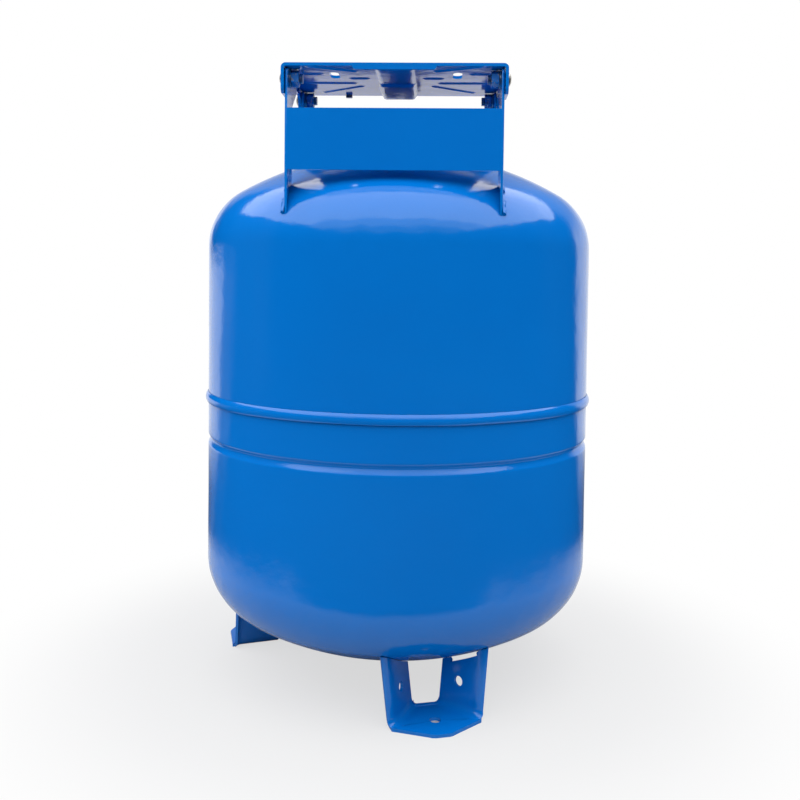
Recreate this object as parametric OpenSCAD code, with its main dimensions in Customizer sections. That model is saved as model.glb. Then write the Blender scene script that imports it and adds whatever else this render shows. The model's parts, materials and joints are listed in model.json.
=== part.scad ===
// Upright welded steel gas vessel on three pressed feet, with a bolted stand over the front
// of its top dome. Millimetres, +Z up, -Y is the front, origin on the floor at the vessel's axis.

/* [Vessel] */
// Outer radius of the barrel
shell_r = 190; // [170:1:210]
// Thickness of the shell plate
shell_wall = 3; // [2.5:0.1:4]
// Radius of the knuckle where a head turns into the barrel
knuckle_r = 61; // [50:1:75]
// Radius of the crown of each head
crown_r = 316; // [290:1:360]
// Straight length between the two heads
barrel_h = 304; // [260:1:360]
// Height of the lower pole above the floor
ground_gap = 17; // [12:1:24]

/* [Girth joint] */
// Height of the girth weld above the lower head's tangent line
seam_h = 157; // [140:1:180]
// Width of the girth weld
bead_w = 11; // [8:0.5:14]
// How far the girth weld stands proud
bead_proud = 2.6; // [2:0.1:3.5]
// Open root between the two shells
root_gap = 1.5; // [1:0.1:2.5]
// How far the joggled rim of the lower shell reaches into the upper one
lap_h = 16; // [12:1:22]
// Radial gap round the joggled rim
lap_clear = 0.2; // [0.1:0.05:0.4]
// Distance of the rolled groove below the weld
groove_drop = 41; // [34:1:50]
// Width of the rolled groove
groove_w = 15.5; // [12:0.5:20]
// Depth of the rolled groove
groove_d = 2.7; // [1.5:0.1:3.5]

/* [Feet] */
// Thickness of the foot's sheet
foot_sheet = 3; // [2.5:0.1:4]
// Turn of the first foot from the front
foot_turn = 15.2; // [0:0.1:30]
// Distance of the foot's back edge from the axis
foot_back = 126; // [118:1:134]
// Half width of the foot at its back edge
foot_back_half = 12; // [9:1:16]
// Distance of the foot's widest line from the axis
foot_wide = 164; // [158:1:170]
// Half width of the foot's base at its widest line
foot_wide_half = 42; // [36:1:48]
// Distance of the foot's tip from the axis
foot_tip = 184; // [176:1:188]
// Half width of the foot's tip
foot_tip_half = 10; // [6:1:14]
// Distance of the fixing hole from the axis
foot_hole_at = 158; // [150:1:164]
// Radius of the fixing hole
foot_hole_r = 5; // [4:0.5:6]
// Lean of the foot's side walls
foot_flare = 5.2; // [3:0.1:8]
// Inside radius of the rolled lip on the walls' outer edges
foot_lip_r = 7; // [5:0.5:9]
// Angle through which that lip turns
foot_lip_turn = 50; // [35:1:65]
// Radius between base and walls
foot_fillet = 6; // [4:0.5:8]
// Height of the low sill at the back
foot_sill = 4; // [3:0.5:8]
// Radius of the hole in each side wall
foot_side_hole_r = 4.5; // [3.5:0.5:6]
// Height of the hole in each side wall
foot_side_hole_z = 27; // [22:1:32]
// Height of the slot between a side wall and the vessel
foot_slot_h = 4.4; // [3:0.2:7]

/* [Stand] */
// Width over the legs of both brackets
stand_w = 185.5; // [160:0.5:200]
// Thickness of the brackets' sheet
bracket_sheet = 2.5; // [2:0.1:3]
// Outside bend radius of the brackets
bracket_bend = 3; // [2.6:0.1:4]
// Distance of the front plate from the axis
front_plate_y = 161.5; // [155:0.5:165]
// Height of the lower edge of the front plate above the dome's pole line, negative is below
front_plate_low = -34.4; // [-36:0.1:-28]
// Height of the front plate
front_plate_h = 52; // [40:1:54]
// Depth of a front leg below its head
front_leg_d = 28.5; // [24:0.5:32]
// Depth of a front leg's head
front_head_d = 54; // [48:1:60]
// Distance of the rear bracket's plate from the axis
rear_plate_y = 32; // [30:0.5:38]
// Depth of a rear leg
rear_leg_d = 28; // [24:0.5:32]
// Height of the rear bracket's plate
rear_plate_h = 26; // [18:1:28]
// Gap between the rear bracket's plate and the dome's pole line
rear_plate_low = 4; // [2:0.5:6]
// Radius of the rounded corners on the legs' heads
head_corner_r = 5; // [3:0.5:6]

/* [Platform] */
// Height of the platform's top above the upper pole
platform_rise = 55; // [50:1:64]
// Thickness of the platform's sheet
platform_sheet = 2.6; // [2:0.1:3]
// Side gap between the platform's flanges and the brackets
platform_side_gap = 0.4; // [0.3:0.1:0.8]
// Distance of the platform's front edge from the axis
platform_front_y = 163; // [162:0.5:168]
// Length of the platform from front to back
platform_d = 130; // [124:1:131]
// Outside bend radius of the platform's sides
platform_bend = 4; // [3:0.5:6]
// Drop of the bolted ears below the top
ear_drop = 25; // [22:0.5:28]
// Drop of the side flange between the ears
flange_drop = 9; // [7:0.5:12]
// Radius at the top corners of the arched cut between the ears
arch_r = 8; // [5:0.5:12]
// Width of the central channel
channel_w = 32; // [26:1:38]
// Depth of the central channel at the back
channel_d = 3.5; // [2.5:0.1:4.5]
// Depth of the channel's front pocket
pocket_d = 1.8; // [1:0.1:2.4]
// Distance of the step between pocket and channel from the axis
channel_step_y = 94; // [84:1:104]
// Distance of the pocket's front end from the axis
channel_start_y = 156; // [150:1:158]
// Spacing of the two long slots
slot_spacing = 108; // [90:1:120]
// Distance of the slots' centres from the axis
slot_y = 124; // [116:1:132]
// Width of a slot
slot_w = 8; // [6:0.5:10]
// Length of a slot
slot_l = 24; // [16:1:30]
// Width of a pressed rib
rib_w = 4; // [3:0.5:6]
// Height of a pressed rib
rib_h = 1; // [0.6:0.1:1.4]
// Width of the short lip under the front edge
front_lip_w = 71; // [60:1:80]
// Height of that lip
front_lip_h = 3; // [2:0.5:4]

/* [Bolts] */
// Radius of the bolts
bolt_r = 4; // [3:0.5:5]
// Gap round a bolt in its holes
bolt_gap = 0.5; // [0.3:0.1:0.8]
// Width across the flats of the nuts
bolt_flats = 13; // [10:0.5:14]
// Radius of a bolt's low round head
bolt_head_r = 7; // [6:0.5:8]
// Height of a bolt's head
bolt_head_h = 3.6; // [3:0.1:4.5]
// Width across the flats of the hexagon socket in a head
socket_flats = 5; // [4:0.5:6]
// Height of a nut
nut_h = 6.5; // [5:0.1:8]
// Outer radius of a washer
washer_r = 7.5; // [7:0.5:9]
// Thickness of a washer
washer_h = 1.6; // [1:0.1:2]
// How far a bolt's end stands out of its nut
bolt_tail = 3; // [1:0.5:6]
// Gap between the washers and the platform's sheet above them
bolt_roof_gap = 0.3; // [0.2:0.1:1.5]
// Distance of the front bolts from the axis
front_bolt_y = 146; // [143:0.5:149]
// Distance of the rear bolts from the axis
rear_bolt_y = 46; // [44:0.5:48]

/* [Valve] */
// Radius of the welded boss
boss_r = 23; // [20:0.5:26]
// Height of the boss above the upper pole
boss_rise = 6; // [5:0.5:7]
// Depth of the boss below the upper pole
boss_depth = 8; // [6:0.5:12]
// Radius of the boss's bore
boss_bore_r = 12.5; // [11:0.5:14]
// Radial gap of fixed threads
thread_gap = 0.15; // [0.1:0.05:0.3]
// Length of the valve's shank below its flange
shank_h = 24; // [20:1:30]
// Width across the flats of the valve's flange
valve_flats = 27; // [26:1:34]
// Height of the valve's flange
valve_flange_h = 3; // [2.5:0.5:4]
// Radius of the valve's column
valve_r = 13; // [12:0.5:15]
// Height of the valve's column
valve_h = 19; // [18:0.5:20]
// Height of the valve seat above the foot of the column
seat_h = 4; // [3.5:0.5:5]
// Radius of the valve chamber
chamber_r = 6; // [5.5:0.5:7]
// Radius of the bore under the seat
seat_bore_r = 3.5; // [2.5:0.5:4]
// Radius of the threaded outlet
outlet_r = 7.94; // [7:0.01:9]
// Distance of the outlet's end from the valve's axis
outlet_reach = 28; // [26:1:34]
// How far the outlet's shoulder stands out past the valve's flange
outlet_neck_gap = 0.5; // [0.3:0.1:2.5]
// Width across the flats of the bonnet
bonnet_flats = 19; // [17:0.5:22]
// Height of the bonnet
bonnet_h = 4.5; // [4:0.5:6]
// Radius of the spindle
spindle_r = 3.4; // [3:0.1:3.8]
// Running gap round the spindle and other turning pins
run_gap = 0.05; // [0.02:0.01:0.1]
// How far the seat plug lifts
plug_lift = 3; // [2:0.5:3.5]
// Radius of the handwheel
wheel_r = 20; // [17:0.5:22]
// Height of the handwheel
wheel_h = 9.5; // [8:0.5:11]
// Number of finger scallops in the handwheel
wheel_lobes = 6; // [5:1:8]
// Distance of the relief valve from the spindle
relief_x = 20; // [19:0.5:24]
// Radius of the relief valve's housing
relief_r = 7; // [6.5:0.5:8]
// How far the relief poppet lifts
relief_lift = 1.5; // [1:0.1:2]
// Distance of the bleed boss's face from the valve's axis
bleed_reach = 19; // [17:0.5:22]
// Radius of the bleed screw
bleed_r = 2.5; // [2:0.1:3]
// Length of the dip tube under the shank
dip_l = 88; // [60:1:120]

/* [Float stop] */
// Depth of the float's pin below the bracket's ring
pin_drop = 10; // [8:0.5:14]
// Radius of the float's pin
pin_r = 1.5; // [1.2:0.1:2]
// Distance of the pin from the valve's axis
pin_y = 4; // [3:0.5:5]
// Angle at which the float hangs below the level
float_hang = 60; // [50:1:70]
// Length of the arm from its pin to the float
arm_l = 28; // [24:1:40]
// Radius of the float
float_r = 10; // [8:0.5:11]
// Length of the float
float_l = 45; // [35:1:60]

/* [Hidden] */
$fn = 96;

blue = [0.02, 0.42, 0.76];
zinc = [0.72, 0.70, 0.62];
brass = [0.78, 0.62, 0.30];
dark = [0.12, 0.12, 0.13];
brown = [0.36, 0.22, 0.16];

seat_gap = 0.3;       // gap between a piece and the shell that it is welded to
weld_gap = 0.15;      // gap between a weld bead and a wall
weld_r = 2;           // radius of the feet's weld beads
far = 400;            // longer than any cut needs
slant = sqrt(pow(crown_r - knuckle_r, 2) - pow(shell_r - knuckle_r, 2));
head_h = crown_r - slant;
low_tangent = ground_gap + head_h;
top_tangent = low_tangent + barrel_h;
top_pole = top_tangent + head_h;
seam_z = low_tangent + seam_h;
groove_z = seam_z - groove_drop;
groove_r = (pow(groove_w / 2, 2) + pow(groove_d, 2)) / (2 * groove_d);
bead_r = (pow(bead_w / 2, 2) + pow(bead_proud, 2)) / (2 * bead_proud);
lap_r = shell_r - shell_wall - lap_clear;
joggle_h = 3.5;       // height over which the lower shell's rim steps inwards

platform_z = top_pole + platform_rise;
platform_w = stand_w + 2 * (platform_side_gap + platform_sheet);
platform_back_y = -platform_front_y + platform_d;
bolt_z = platform_z - platform_sheet - bolt_roof_gap - washer_r;
head_top_z = platform_z - platform_sheet - 0.8;
under_z = platform_z - platform_sheet;

valve_z = top_pole + boss_rise + seat_gap;
seat_z = valve_z + seat_h;
valve_top = valve_z + valve_h;
outlet_z = valve_z + valve_h / 2 + 1.5;
outlet_neck = valve_flats / 2 + outlet_neck_gap;
bonnet_top = valve_top + bonnet_h;
wheel_z = bonnet_top + 1;
plug_h = 5;
disc_h = 1.5;
disc_z = seat_z + 0.1;
plug_top = disc_z + disc_h + plug_h;
spindle_low = plug_top + plug_lift + 0.3;
collar_h = 1.7;
tang_r = 1.8;
tang_grip = 1.2;
relief_seat = valve_z + 5;
relief_top = valve_z + valve_h - 1;
poppet_h = 1.8;
poppet_z = relief_seat + 0.05;
relief_bore_r = relief_r - 2;
relief_cap_h = 2.5;
relief_cap_z = relief_top - relief_cap_h - 0.5;
relief_stem_r = 1.2;
spring_z = poppet_z + poppet_h + 0.1;
spring_h = relief_cap_z - spring_z - 0.1;
spring_wire = 0.5;
spring_turns = 5;
bleed_z = valve_z + 12;
shank_r = boss_bore_r - thread_gap;
shank_low = valve_z - shank_h;
dip_x = 8;
dip_r = 2;
ring_h = 2;
ring_low = shank_low - seat_gap - ring_h;
pin_z = ring_low - pin_drop;
ear_x = 7;
ear_t = 2;
arm_hub_r = 3.5;

// Radial height of a head above its tangent line at a distance rho from the axis
function head_rise(rho) =
  let (edge = crown_r * (shell_r - knuckle_r) / (crown_r - knuckle_r))
  rho < edge ? sqrt(pow(crown_r, 2) - pow(rho, 2)) - slant
             : sqrt(max(0, pow(knuckle_r, 2) - pow(rho - shell_r + knuckle_r, 2)));
// Cosine of the head's slope at a distance rho from the axis
function head_cos(rho) =
  let (edge = crown_r * (shell_r - knuckle_r) / (crown_r - knuckle_r))
  rho < edge ? sqrt(1 - pow(rho / crown_r, 2))
             : sqrt(max(0.01, 1 - pow((rho - shell_r + knuckle_r) / knuckle_r, 2)));
function top_at(rho) = top_tangent + head_rise(rho);
function under_at(rho) = low_tangent - head_rise(rho);

// One head's outline on the right of the axis, grown outwards by grow: a sector of the crown
// up to the line through both arcs' centres, and the disc of the knuckle
module head_outline(grow) {
  reach = crown_r + grow + 5;
  run = (shell_r - knuckle_r) / (crown_r - knuckle_r);
  rise = slant / (crown_r - knuckle_r);
  intersection() {
    translate([0, -slant]) circle(r = crown_r + grow, $fn = 360);
    polygon([[0, -slant], [reach * run, reach * rise - slant], [0, reach]]);
  }
  translate([shell_r - knuckle_r, 0]) circle(r = knuckle_r + grow, $fn = 180);
}

// Outline of the whole vessel, grown outwards by grow
module vessel_outline(grow) {
  translate([0, top_tangent]) head_outline(grow);
  translate([0, low_tangent]) mirror([0, 1]) head_outline(grow);
  translate([0, low_tangent]) square([shell_r + grow, barrel_h]);
}

module vessel_solid(grow) {
  rotate_extrude($fn = 180) vessel_outline(grow);
}

module upper_shell() {
  color(blue) difference() {
    rotate_extrude($fn = 180) difference() {
      vessel_outline(0);
      vessel_outline(-shell_wall);
      square([shell_r + 10, seam_z + root_gap / 2]);
    }
    translate([0, 0, top_pole - 20]) cylinder(r = boss_r + seat_gap, h = 40);
  }
}

// The lower shell's rim is joggled inwards under the weld to sit inside the upper one
module lower_shell() {
  step_z = seam_z - root_gap / 2 - joggle_h;
  rim_z = step_z + joggle_h;
  color(blue) rotate_extrude($fn = 180) {
    difference() {
      vessel_outline(0);
      difference() {
        vessel_outline(-shell_wall);
        translate([shell_r - groove_d + groove_r, groove_z]) circle(r = groove_r + shell_wall);
      }
      translate([shell_r - groove_d + groove_r, groove_z]) circle(r = groove_r);
      translate([0, step_z]) square([shell_r + 10, far]);
    }
    polygon([
      [shell_r - shell_wall, step_z], [shell_r, step_z], [lap_r, rim_z], [lap_r, seam_z + lap_h],
      [lap_r - shell_wall, seam_z + lap_h], [lap_r - shell_wall, rim_z]
    ]);
  }
}

module girth_weld() {
  color(blue) rotate_extrude($fn = 180) intersection() {
    translate([shell_r + bead_proud - bead_r, seam_z]) circle(r = bead_r);
    translate([shell_r + 0.05, seam_z - bead_w]) square([bead_w, 2 * bead_w]);
  }
}

module valve_boss() {
  color(blue) translate([0, 0, top_pole - boss_depth]) difference() {
    cylinder(r = boss_r, h = boss_depth + boss_rise);
    translate([0, 0, -1]) cylinder(r = boss_bore_r, h = boss_depth + boss_rise + 2);
  }
}

module boss_weld() {
  rise = top_at(boss_r + 1);
  color(blue) difference() {
    translate([0, 0, rise]) rotate_extrude() translate([boss_r, 0]) circle(r = 4, $fn = 32);
    cylinder(r = boss_r + 0.1, h = far * 2);
    vessel_solid(0.1);
  }
}

// One foot in its own frame: X points away from the vessel's axis
wall_run = foot_wide - foot_back;
wall_spread = foot_wide_half - foot_back_half;
wall_turn = atan2(wall_spread, wall_run);
wall_l = sqrt(pow(wall_run, 2) + pow(wall_spread, 2)) - foot_lip_r - foot_sheet / 2;
wall_h = under_at(foot_wide) + 16;

module in_wall_frame() {
  translate([foot_back, foot_back_half, 0]) rotate([0, 0, wall_turn])
    rotate([-foot_flare, 0, 0]) children();
}

module foot_wall_plan() {
  square([wall_l, foot_sheet]);
  translate([wall_l, foot_sheet + foot_lip_r]) intersection() {
    difference() {
      circle(r = foot_lip_r + foot_sheet);
      circle(r = foot_lip_r);
    }
    polygon([[0, 0], [0, -far], [far * tan(foot_lip_turn), -far]]);
  }
}

module foot_wall() {
  in_wall_frame() difference() {
    translate([0, 0, 1]) linear_extrude(wall_h) foot_wall_plan();
    translate([wall_l / 2, -5, foot_side_hole_z]) rotate([-90, 0, 0])
      cylinder(r = foot_side_hole_r, h = foot_sheet + 10);
  }
  translate([foot_back, foot_back_half, foot_sheet]) rotate([0, 0, wall_turn])
    rotate([90, 0, 90]) linear_extrude(wall_l) difference() {
      translate([-foot_fillet, -0.5]) square([foot_fillet + 0.5, foot_fillet + 0.5]);
      translate([-foot_fillet, foot_fillet]) circle(r = foot_fillet);
    }
}

// The part of a wall's top that stands clear of the vessel
module foot_wall_slot() {
  intersection() {
    in_wall_frame() translate([wall_l * 0.22, -5, 0])
      cube([wall_l * 0.62, foot_sheet + 10, wall_h + 20]);
    vessel_solid(foot_slot_h + seat_gap);
  }
}

module foot_base_plan() {
  polygon([
    [foot_back, foot_back_half], [foot_wide - 1, foot_wide_half],
    [foot_wide + 2, foot_wide_half - 1], [foot_tip - 1.5, foot_tip_half],
    [foot_tip, foot_tip_half - 3], [foot_tip, 3 - foot_tip_half],
    [foot_tip - 1.5, -foot_tip_half], [foot_wide + 2, 1 - foot_wide_half],
    [foot_wide - 1, -foot_wide_half], [foot_back, -foot_back_half]
  ]);
}

module foot_sill_wall() {
  corner = 5;
  span = 2 * foot_back_half;
  translate([foot_back, 0, 0]) rotate([90, 0, 90]) linear_extrude(foot_sheet) difference() {
    translate([-foot_back_half, 0]) square([span, foot_sill + corner]);
    translate([-foot_back_half + corner, foot_sill]) square([span - 2 * corner, corner + 1]);
    translate([-foot_back_half, foot_sill + corner]) square([span, 1]);
    for (side = [-1, 1]) translate([side * (foot_back_half - corner), foot_sill + corner])
      circle(r = corner);
  }
}

module foot() {
  color(blue) difference() {
    union() {
      difference() {
        linear_extrude(foot_sheet) foot_base_plan();
        translate([foot_hole_at, 0, -1]) cylinder(r = foot_hole_r, h = foot_sheet + 2);
      }
      foot_sill_wall();
      foot_wall();
      mirror([0, 1, 0]) foot_wall();
    }
    vessel_solid(seat_gap);
    foot_wall_slot();
    mirror([0, 1, 0]) foot_wall_slot();
  }
}

function foot_angle(i) = foot_turn - 90 + 120 * i;

module foot_front() { rotate([0, 0, foot_angle(0)]) foot(); }
module foot_left() { rotate([0, 0, foot_angle(2)]) foot(); }
module foot_right() { rotate([0, 0, foot_angle(1)]) foot(); }

// A short run of weld with tapered ends, lying along Z
module bead(r, l) {
  rotate_extrude($fn = 32) polygon([
    [0, 0], [r * 0.55, 0], [r * 0.9, r * 0.4], [r, r], [r, l - r], [r * 0.9, l - r * 0.4],
    [r * 0.55, l], [0, l]
  ]);
}

// Centre of a weld bead between a foot's wall and the head, at a share of the wall's length
function foot_weld_at(share) =
  let (
    along = share * wall_l,
    off = foot_sheet + weld_r + weld_gap,
    px = foot_back + along * cos(wall_turn) - off * sin(wall_turn),
    py = foot_back_half + along * sin(wall_turn) + off * cos(wall_turn),
    lean = tan(foot_flare) * under_at(norm([px, py])),
    x = px - lean * sin(wall_turn),
    y = py + lean * cos(wall_turn),
    rho = norm([x, y])
  )
  [x, y, under_at(rho) - (weld_r + seat_gap) / head_cos(rho)];

module foot_wall_bead(start, end) {
  first = foot_weld_at(start);
  last = foot_weld_at(end);
  run = last - first;
  translate(first) rotate([0, acos(run[2] / norm(run)), atan2(run[1], run[0])])
    bead(weld_r, norm(run));
}

module foot_welds() {
  color(blue) for (i = [0:2]) rotate([0, 0, foot_angle(i)]) for (flip = [0, 1])
    mirror([0, flip, 0]) {
      foot_wall_bead(0.02, 0.2);
      foot_wall_bead(0.86, 1.0);
    }
}

// Plan of a bent bracket: its plate lies along X at y = 0 and its legs run towards +Y
module channel_plan(width, depth, sheet, bend) {
  difference() {
    union() {
      translate([-width / 2, bend]) square([width, depth - bend]);
      translate([bend - width / 2, 0]) square([width - 2 * bend, bend + 0.5]);
      for (side = [-1, 1]) translate([side * (width / 2 - bend), bend]) circle(r = bend, $fn = 48);
    }
    translate([sheet - width / 2, sheet]) square([width - 2 * sheet, depth]);
  }
}

module both_sides_hole(y, z, r) {
  translate([-stand_w, y, z]) rotate([0, 90, 0]) cylinder(r = r, h = 2 * stand_w);
}

// Side view of the front legs: a strip that widens backwards into a head
module front_leg_side() {
  back = -front_plate_y + front_head_d;
  strip = -front_plate_y + front_leg_d;
  plate_top = top_pole + front_plate_low + front_plate_h;
  difference() {
    polygon([
      [-front_plate_y, top_tangent], [-front_plate_y, head_top_z],
      [back, head_top_z], [back, head_top_z - 12],
      [strip, plate_top + 5], [strip, top_tangent]
    ]);
    corner_cut(back, head_top_z, 1, 1);
    corner_cut(-front_plate_y, head_top_z, -1, 1);
  }
}

// What a rounded corner takes off: at, z is the corner and dx, dz point out of the sheet
module corner_cut(at, z, dx, dz) {
  r = head_corner_r;
  difference() {
    translate([at - (dx > 0 ? r : 1), z - (dz > 0 ? r : 1)]) square(r + 1);
    translate([at - dx * r, z - dz * r]) circle(r = r, $fn = 48);
  }
}

module front_bracket() {
  plate_low = top_pole + front_plate_low;
  inner = stand_w - 2 * bracket_sheet;
  color(blue) difference() {
    intersection() {
      translate([0, -front_plate_y, 0]) linear_extrude(head_top_z)
        channel_plan(stand_w, front_head_d, bracket_sheet, bracket_bend);
      rotate([90, 0, 90]) translate([0, 0, -stand_w])
        linear_extrude(2 * stand_w) front_leg_side();
    }
    translate([-inner / 2, -front_plate_y - 1, plate_low + front_plate_h])
      cube([inner, bracket_sheet + 2, far]);
    translate([-inner / 2, -front_plate_y - 1, plate_low - far])
      cube([inner, bracket_sheet + 2, far]);
    both_sides_hole(-front_bolt_y, bolt_z, bolt_r + bolt_gap);
    vessel_solid(seat_gap);
  }
}

module rear_leg_side() {
  front = -rear_plate_y - rear_leg_d;
  difference() {
    translate([front, top_pole - 60]) square([rear_leg_d, head_top_z - top_pole + 60]);
    corner_cut(front, head_top_z, -1, 1);
    corner_cut(-rear_plate_y, head_top_z, 1, 1);
  }
}

module rear_bracket() {
  plate_low = top_pole + rear_plate_low;
  inner = stand_w - 2 * bracket_sheet;
  color(blue) difference() {
    intersection() {
      translate([0, -rear_plate_y, 0]) rotate([0, 0, 180]) linear_extrude(head_top_z)
        channel_plan(stand_w, rear_leg_d, bracket_sheet, bracket_bend);
      rotate([90, 0, 90]) translate([0, 0, -stand_w])
        linear_extrude(2 * stand_w) rear_leg_side();
    }
    translate([-inner / 2, -rear_plate_y - bracket_sheet - 1, plate_low + rear_plate_h])
      cube([inner, bracket_sheet + 2, far]);
    translate([-inner / 2, -rear_plate_y - bracket_sheet - 1, plate_low - far])
      cube([inner, bracket_sheet + 2, far]);
    both_sides_hole(-rear_bolt_y, bolt_z, bolt_r + bolt_gap);
    vessel_solid(seat_gap);
  }
}

// A straight run of weld on the dome outside a leg, from y0 to y1
module leg_bead(y0, y1) {
  x = stand_w / 2;
  z0 = top_at(norm([x, y0]));
  z1 = top_at(norm([x, y1]));
  run = [0, y1 - y0, z1 - z0];
  difference() {
    translate([x, y0, z0]) rotate([0, acos(run[2] / norm(run)), 90])
      cylinder(r = 3, h = norm(run), $fn = 24);
    translate([x - far + 0.1, -far, 0]) cube([far, 2 * far, 2 * far]);
    vessel_solid(0.1);
  }
}

module bracket_welds() {
  color(blue) for (flip = [0, 1]) mirror([flip, 0, 0]) {
    leg_bead(-front_plate_y + 2, -front_plate_y + 10);
    leg_bead(-front_plate_y + front_leg_d - 9, -front_plate_y + front_leg_d - 1);
    leg_bead(-rear_plate_y - rear_leg_d + 1, -rear_plate_y - 1);
  }
}

// Pressed ribs on the right half of the platform: start x, y and end x, y, seen from above
ribs = [
  [72, -158, 36, -141],
  [80, -92, 40, -92],
  [70, -50, 34, -78],
  [27, -112, 39, -112],
  [67, -130, 82, -130]
];

module rib_plan(rib, grow) {
  run = [rib[2] - rib[0], rib[3] - rib[1]];
  r = rib_w / 2 + grow;
  translate([rib[0], rib[1]]) rotate(atan2(run[1], run[0])) {
    translate([0, -r]) square([norm(run), 2 * r]);
    circle(r = r, $fn = 32);
    translate([norm(run), 0]) circle(r = r, $fn = 32);
  }
}

module all_ribs(grow) {
  for (flip = [0, 1]) mirror([flip, 0]) for (rib = ribs) rib_plan(rib, grow);
}

// Cross-section of the channel below level z, from its wide mouth to its narrower floor
module channel_section(z, depth, narrow) {
  half = channel_w / 2 - narrow;
  polygon([[-half, z + 1], [-half, z], [-half + depth * 0.5, z - depth],
           [half - depth * 0.5, z - depth], [half, z], [half, z + 1]]);
}

module channel_run(z, depth, narrow, y0, y1) {
  translate([0, y1, 0]) rotate([90, 0, 0]) linear_extrude(y1 - y0)
    channel_section(z, depth, narrow);
}

// Side view of the flanges: bolted ears, with an arched cut between them
module flange_side() {
  front = -platform_front_y;
  low = platform_z - ear_drop;
  front_ear = -2 * front_bolt_y + platform_front_y;
  rear_ear = -2 * rear_bolt_y - platform_back_y;
  arch_top = platform_z - flange_drop;
  difference() {
    translate([front, low]) square([platform_d, ear_drop]);
    translate([front_ear, low - 1]) square([rear_ear - front_ear, arch_top - arch_r - low + 1]);
    translate([front_ear + arch_r, low]) square([rear_ear - front_ear - 2 * arch_r, arch_top - low]);
    for (y = [front_ear + arch_r, rear_ear - arch_r]) translate([y, arch_top - arch_r])
      circle(r = arch_r);
    for (c = [[front, -1], [front_ear, 1], [rear_ear, -1], [platform_back_y, 1]])
      corner_cut(c[0], low, c[1], -1);
  }
}

module platform() {
  inner = platform_w - 2 * platform_sheet;
  color(blue) difference() {
    union() {
      intersection() {
        translate([0, -platform_front_y, platform_z]) rotate([-90, 0, 0])
          linear_extrude(platform_d) channel_plan(platform_w, ear_drop, platform_sheet, platform_bend);
        rotate([90, 0, 90]) translate([0, 0, -platform_w])
          linear_extrude(2 * platform_w) flange_side();
      }
      channel_run(under_z, pocket_d, 0, -channel_start_y, -channel_step_y);
      channel_run(under_z, channel_d, 0, -channel_step_y, platform_back_y);
      translate([-front_lip_w / 2, -platform_front_y, under_z - front_lip_h])
        cube([front_lip_w, platform_sheet, front_lip_h + 1]);
      translate([0, 0, under_z - rib_h]) linear_extrude(rib_h + 0.5) all_ribs(0.6);
    }
    channel_run(platform_z, pocket_d, 1.2, -channel_start_y + 1.2, -channel_step_y - 1);
    channel_run(platform_z, channel_d, 1.2, -channel_step_y + platform_sheet, platform_back_y + 1);
    translate([0, 0, platform_z - rib_h]) linear_extrude(rib_h + 1) all_ribs(-0.6);
    for (side = [-1, 1]) translate([side * slot_spacing / 2, -slot_y, under_z - 5])
      linear_extrude(platform_sheet + 10) {
        square([slot_w, slot_l - slot_w], center = true);
        for (e = [-1, 1]) translate([0, e * (slot_l - slot_w) / 2]) circle(r = slot_w / 2);
      }
    both_sides_hole(-front_bolt_y, bolt_z, bolt_r + bolt_gap);
    both_sides_hole(-rear_bolt_y, bolt_z, bolt_r + bolt_gap);
  }
}

module rear_tab() {
  tab = [6, 5, 2.4];
  color(brown) translate([-49 - tab[0] / 2, platform_back_y - tab[1] - 1, under_z - 0.3 - tab[2]])
    cube(tab);
}

module hexagon(flats, h) {
  cylinder(r = flats / 2 / cos(30), h = h, $fn = 6);
}

// Places a fastener on both sides of the stand: its own Z points outwards from the stand's middle
module at_bolts(y) {
  for (side = [-1, 1]) translate([0, y, bolt_z]) rotate([0, side * 90, 0]) children();
}

head_x = platform_w / 2 + 0.05;
washer_x = stand_w / 2 - bracket_sheet - 0.05 - washer_h;
nut_x = washer_x - 0.05 - nut_h;

// A low domed head with a hexagon socket, on a plain shank
module bolts(y) {
  dome_r = (pow(bolt_head_r, 2) + pow(bolt_head_h - 0.4, 2)) / (2 * (bolt_head_h - 0.4));
  color(zinc) at_bolts(y) difference() {
    union() {
      translate([0, 0, nut_x - bolt_tail]) cylinder(r = bolt_r, h = head_x - nut_x + bolt_tail + 0.5);
      intersection() {
        translate([0, 0, head_x]) cylinder(r = bolt_head_r, h = bolt_head_h);
        translate([0, 0, head_x + bolt_head_h - dome_r]) sphere(r = dome_r);
      }
    }
    translate([0, 0, head_x + bolt_head_h - 2.2]) hexagon(socket_flats, 4);
  }
}

module washers(y) {
  color(zinc) at_bolts(y) translate([0, 0, washer_x]) difference() {
    cylinder(r = washer_r, h = washer_h);
    translate([0, 0, -1]) cylinder(r = bolt_r + 0.2, h = washer_h + 2);
  }
}

module nuts(y) {
  color(zinc) at_bolts(y) translate([0, 0, nut_x]) difference() {
    hexagon(bolt_flats, nut_h);
    translate([0, 0, -1]) cylinder(r = bolt_r + 0.1, h = nut_h + 2);
  }
}

module front_bolts() { bolts(-front_bolt_y); }
module front_washers() { washers(-front_bolt_y); }
module front_nuts() { nuts(-front_bolt_y); }
module rear_bolts() { bolts(-rear_bolt_y); }
module rear_washers() { washers(-rear_bolt_y); }
module rear_nuts() { nuts(-rear_bolt_y); }

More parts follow.
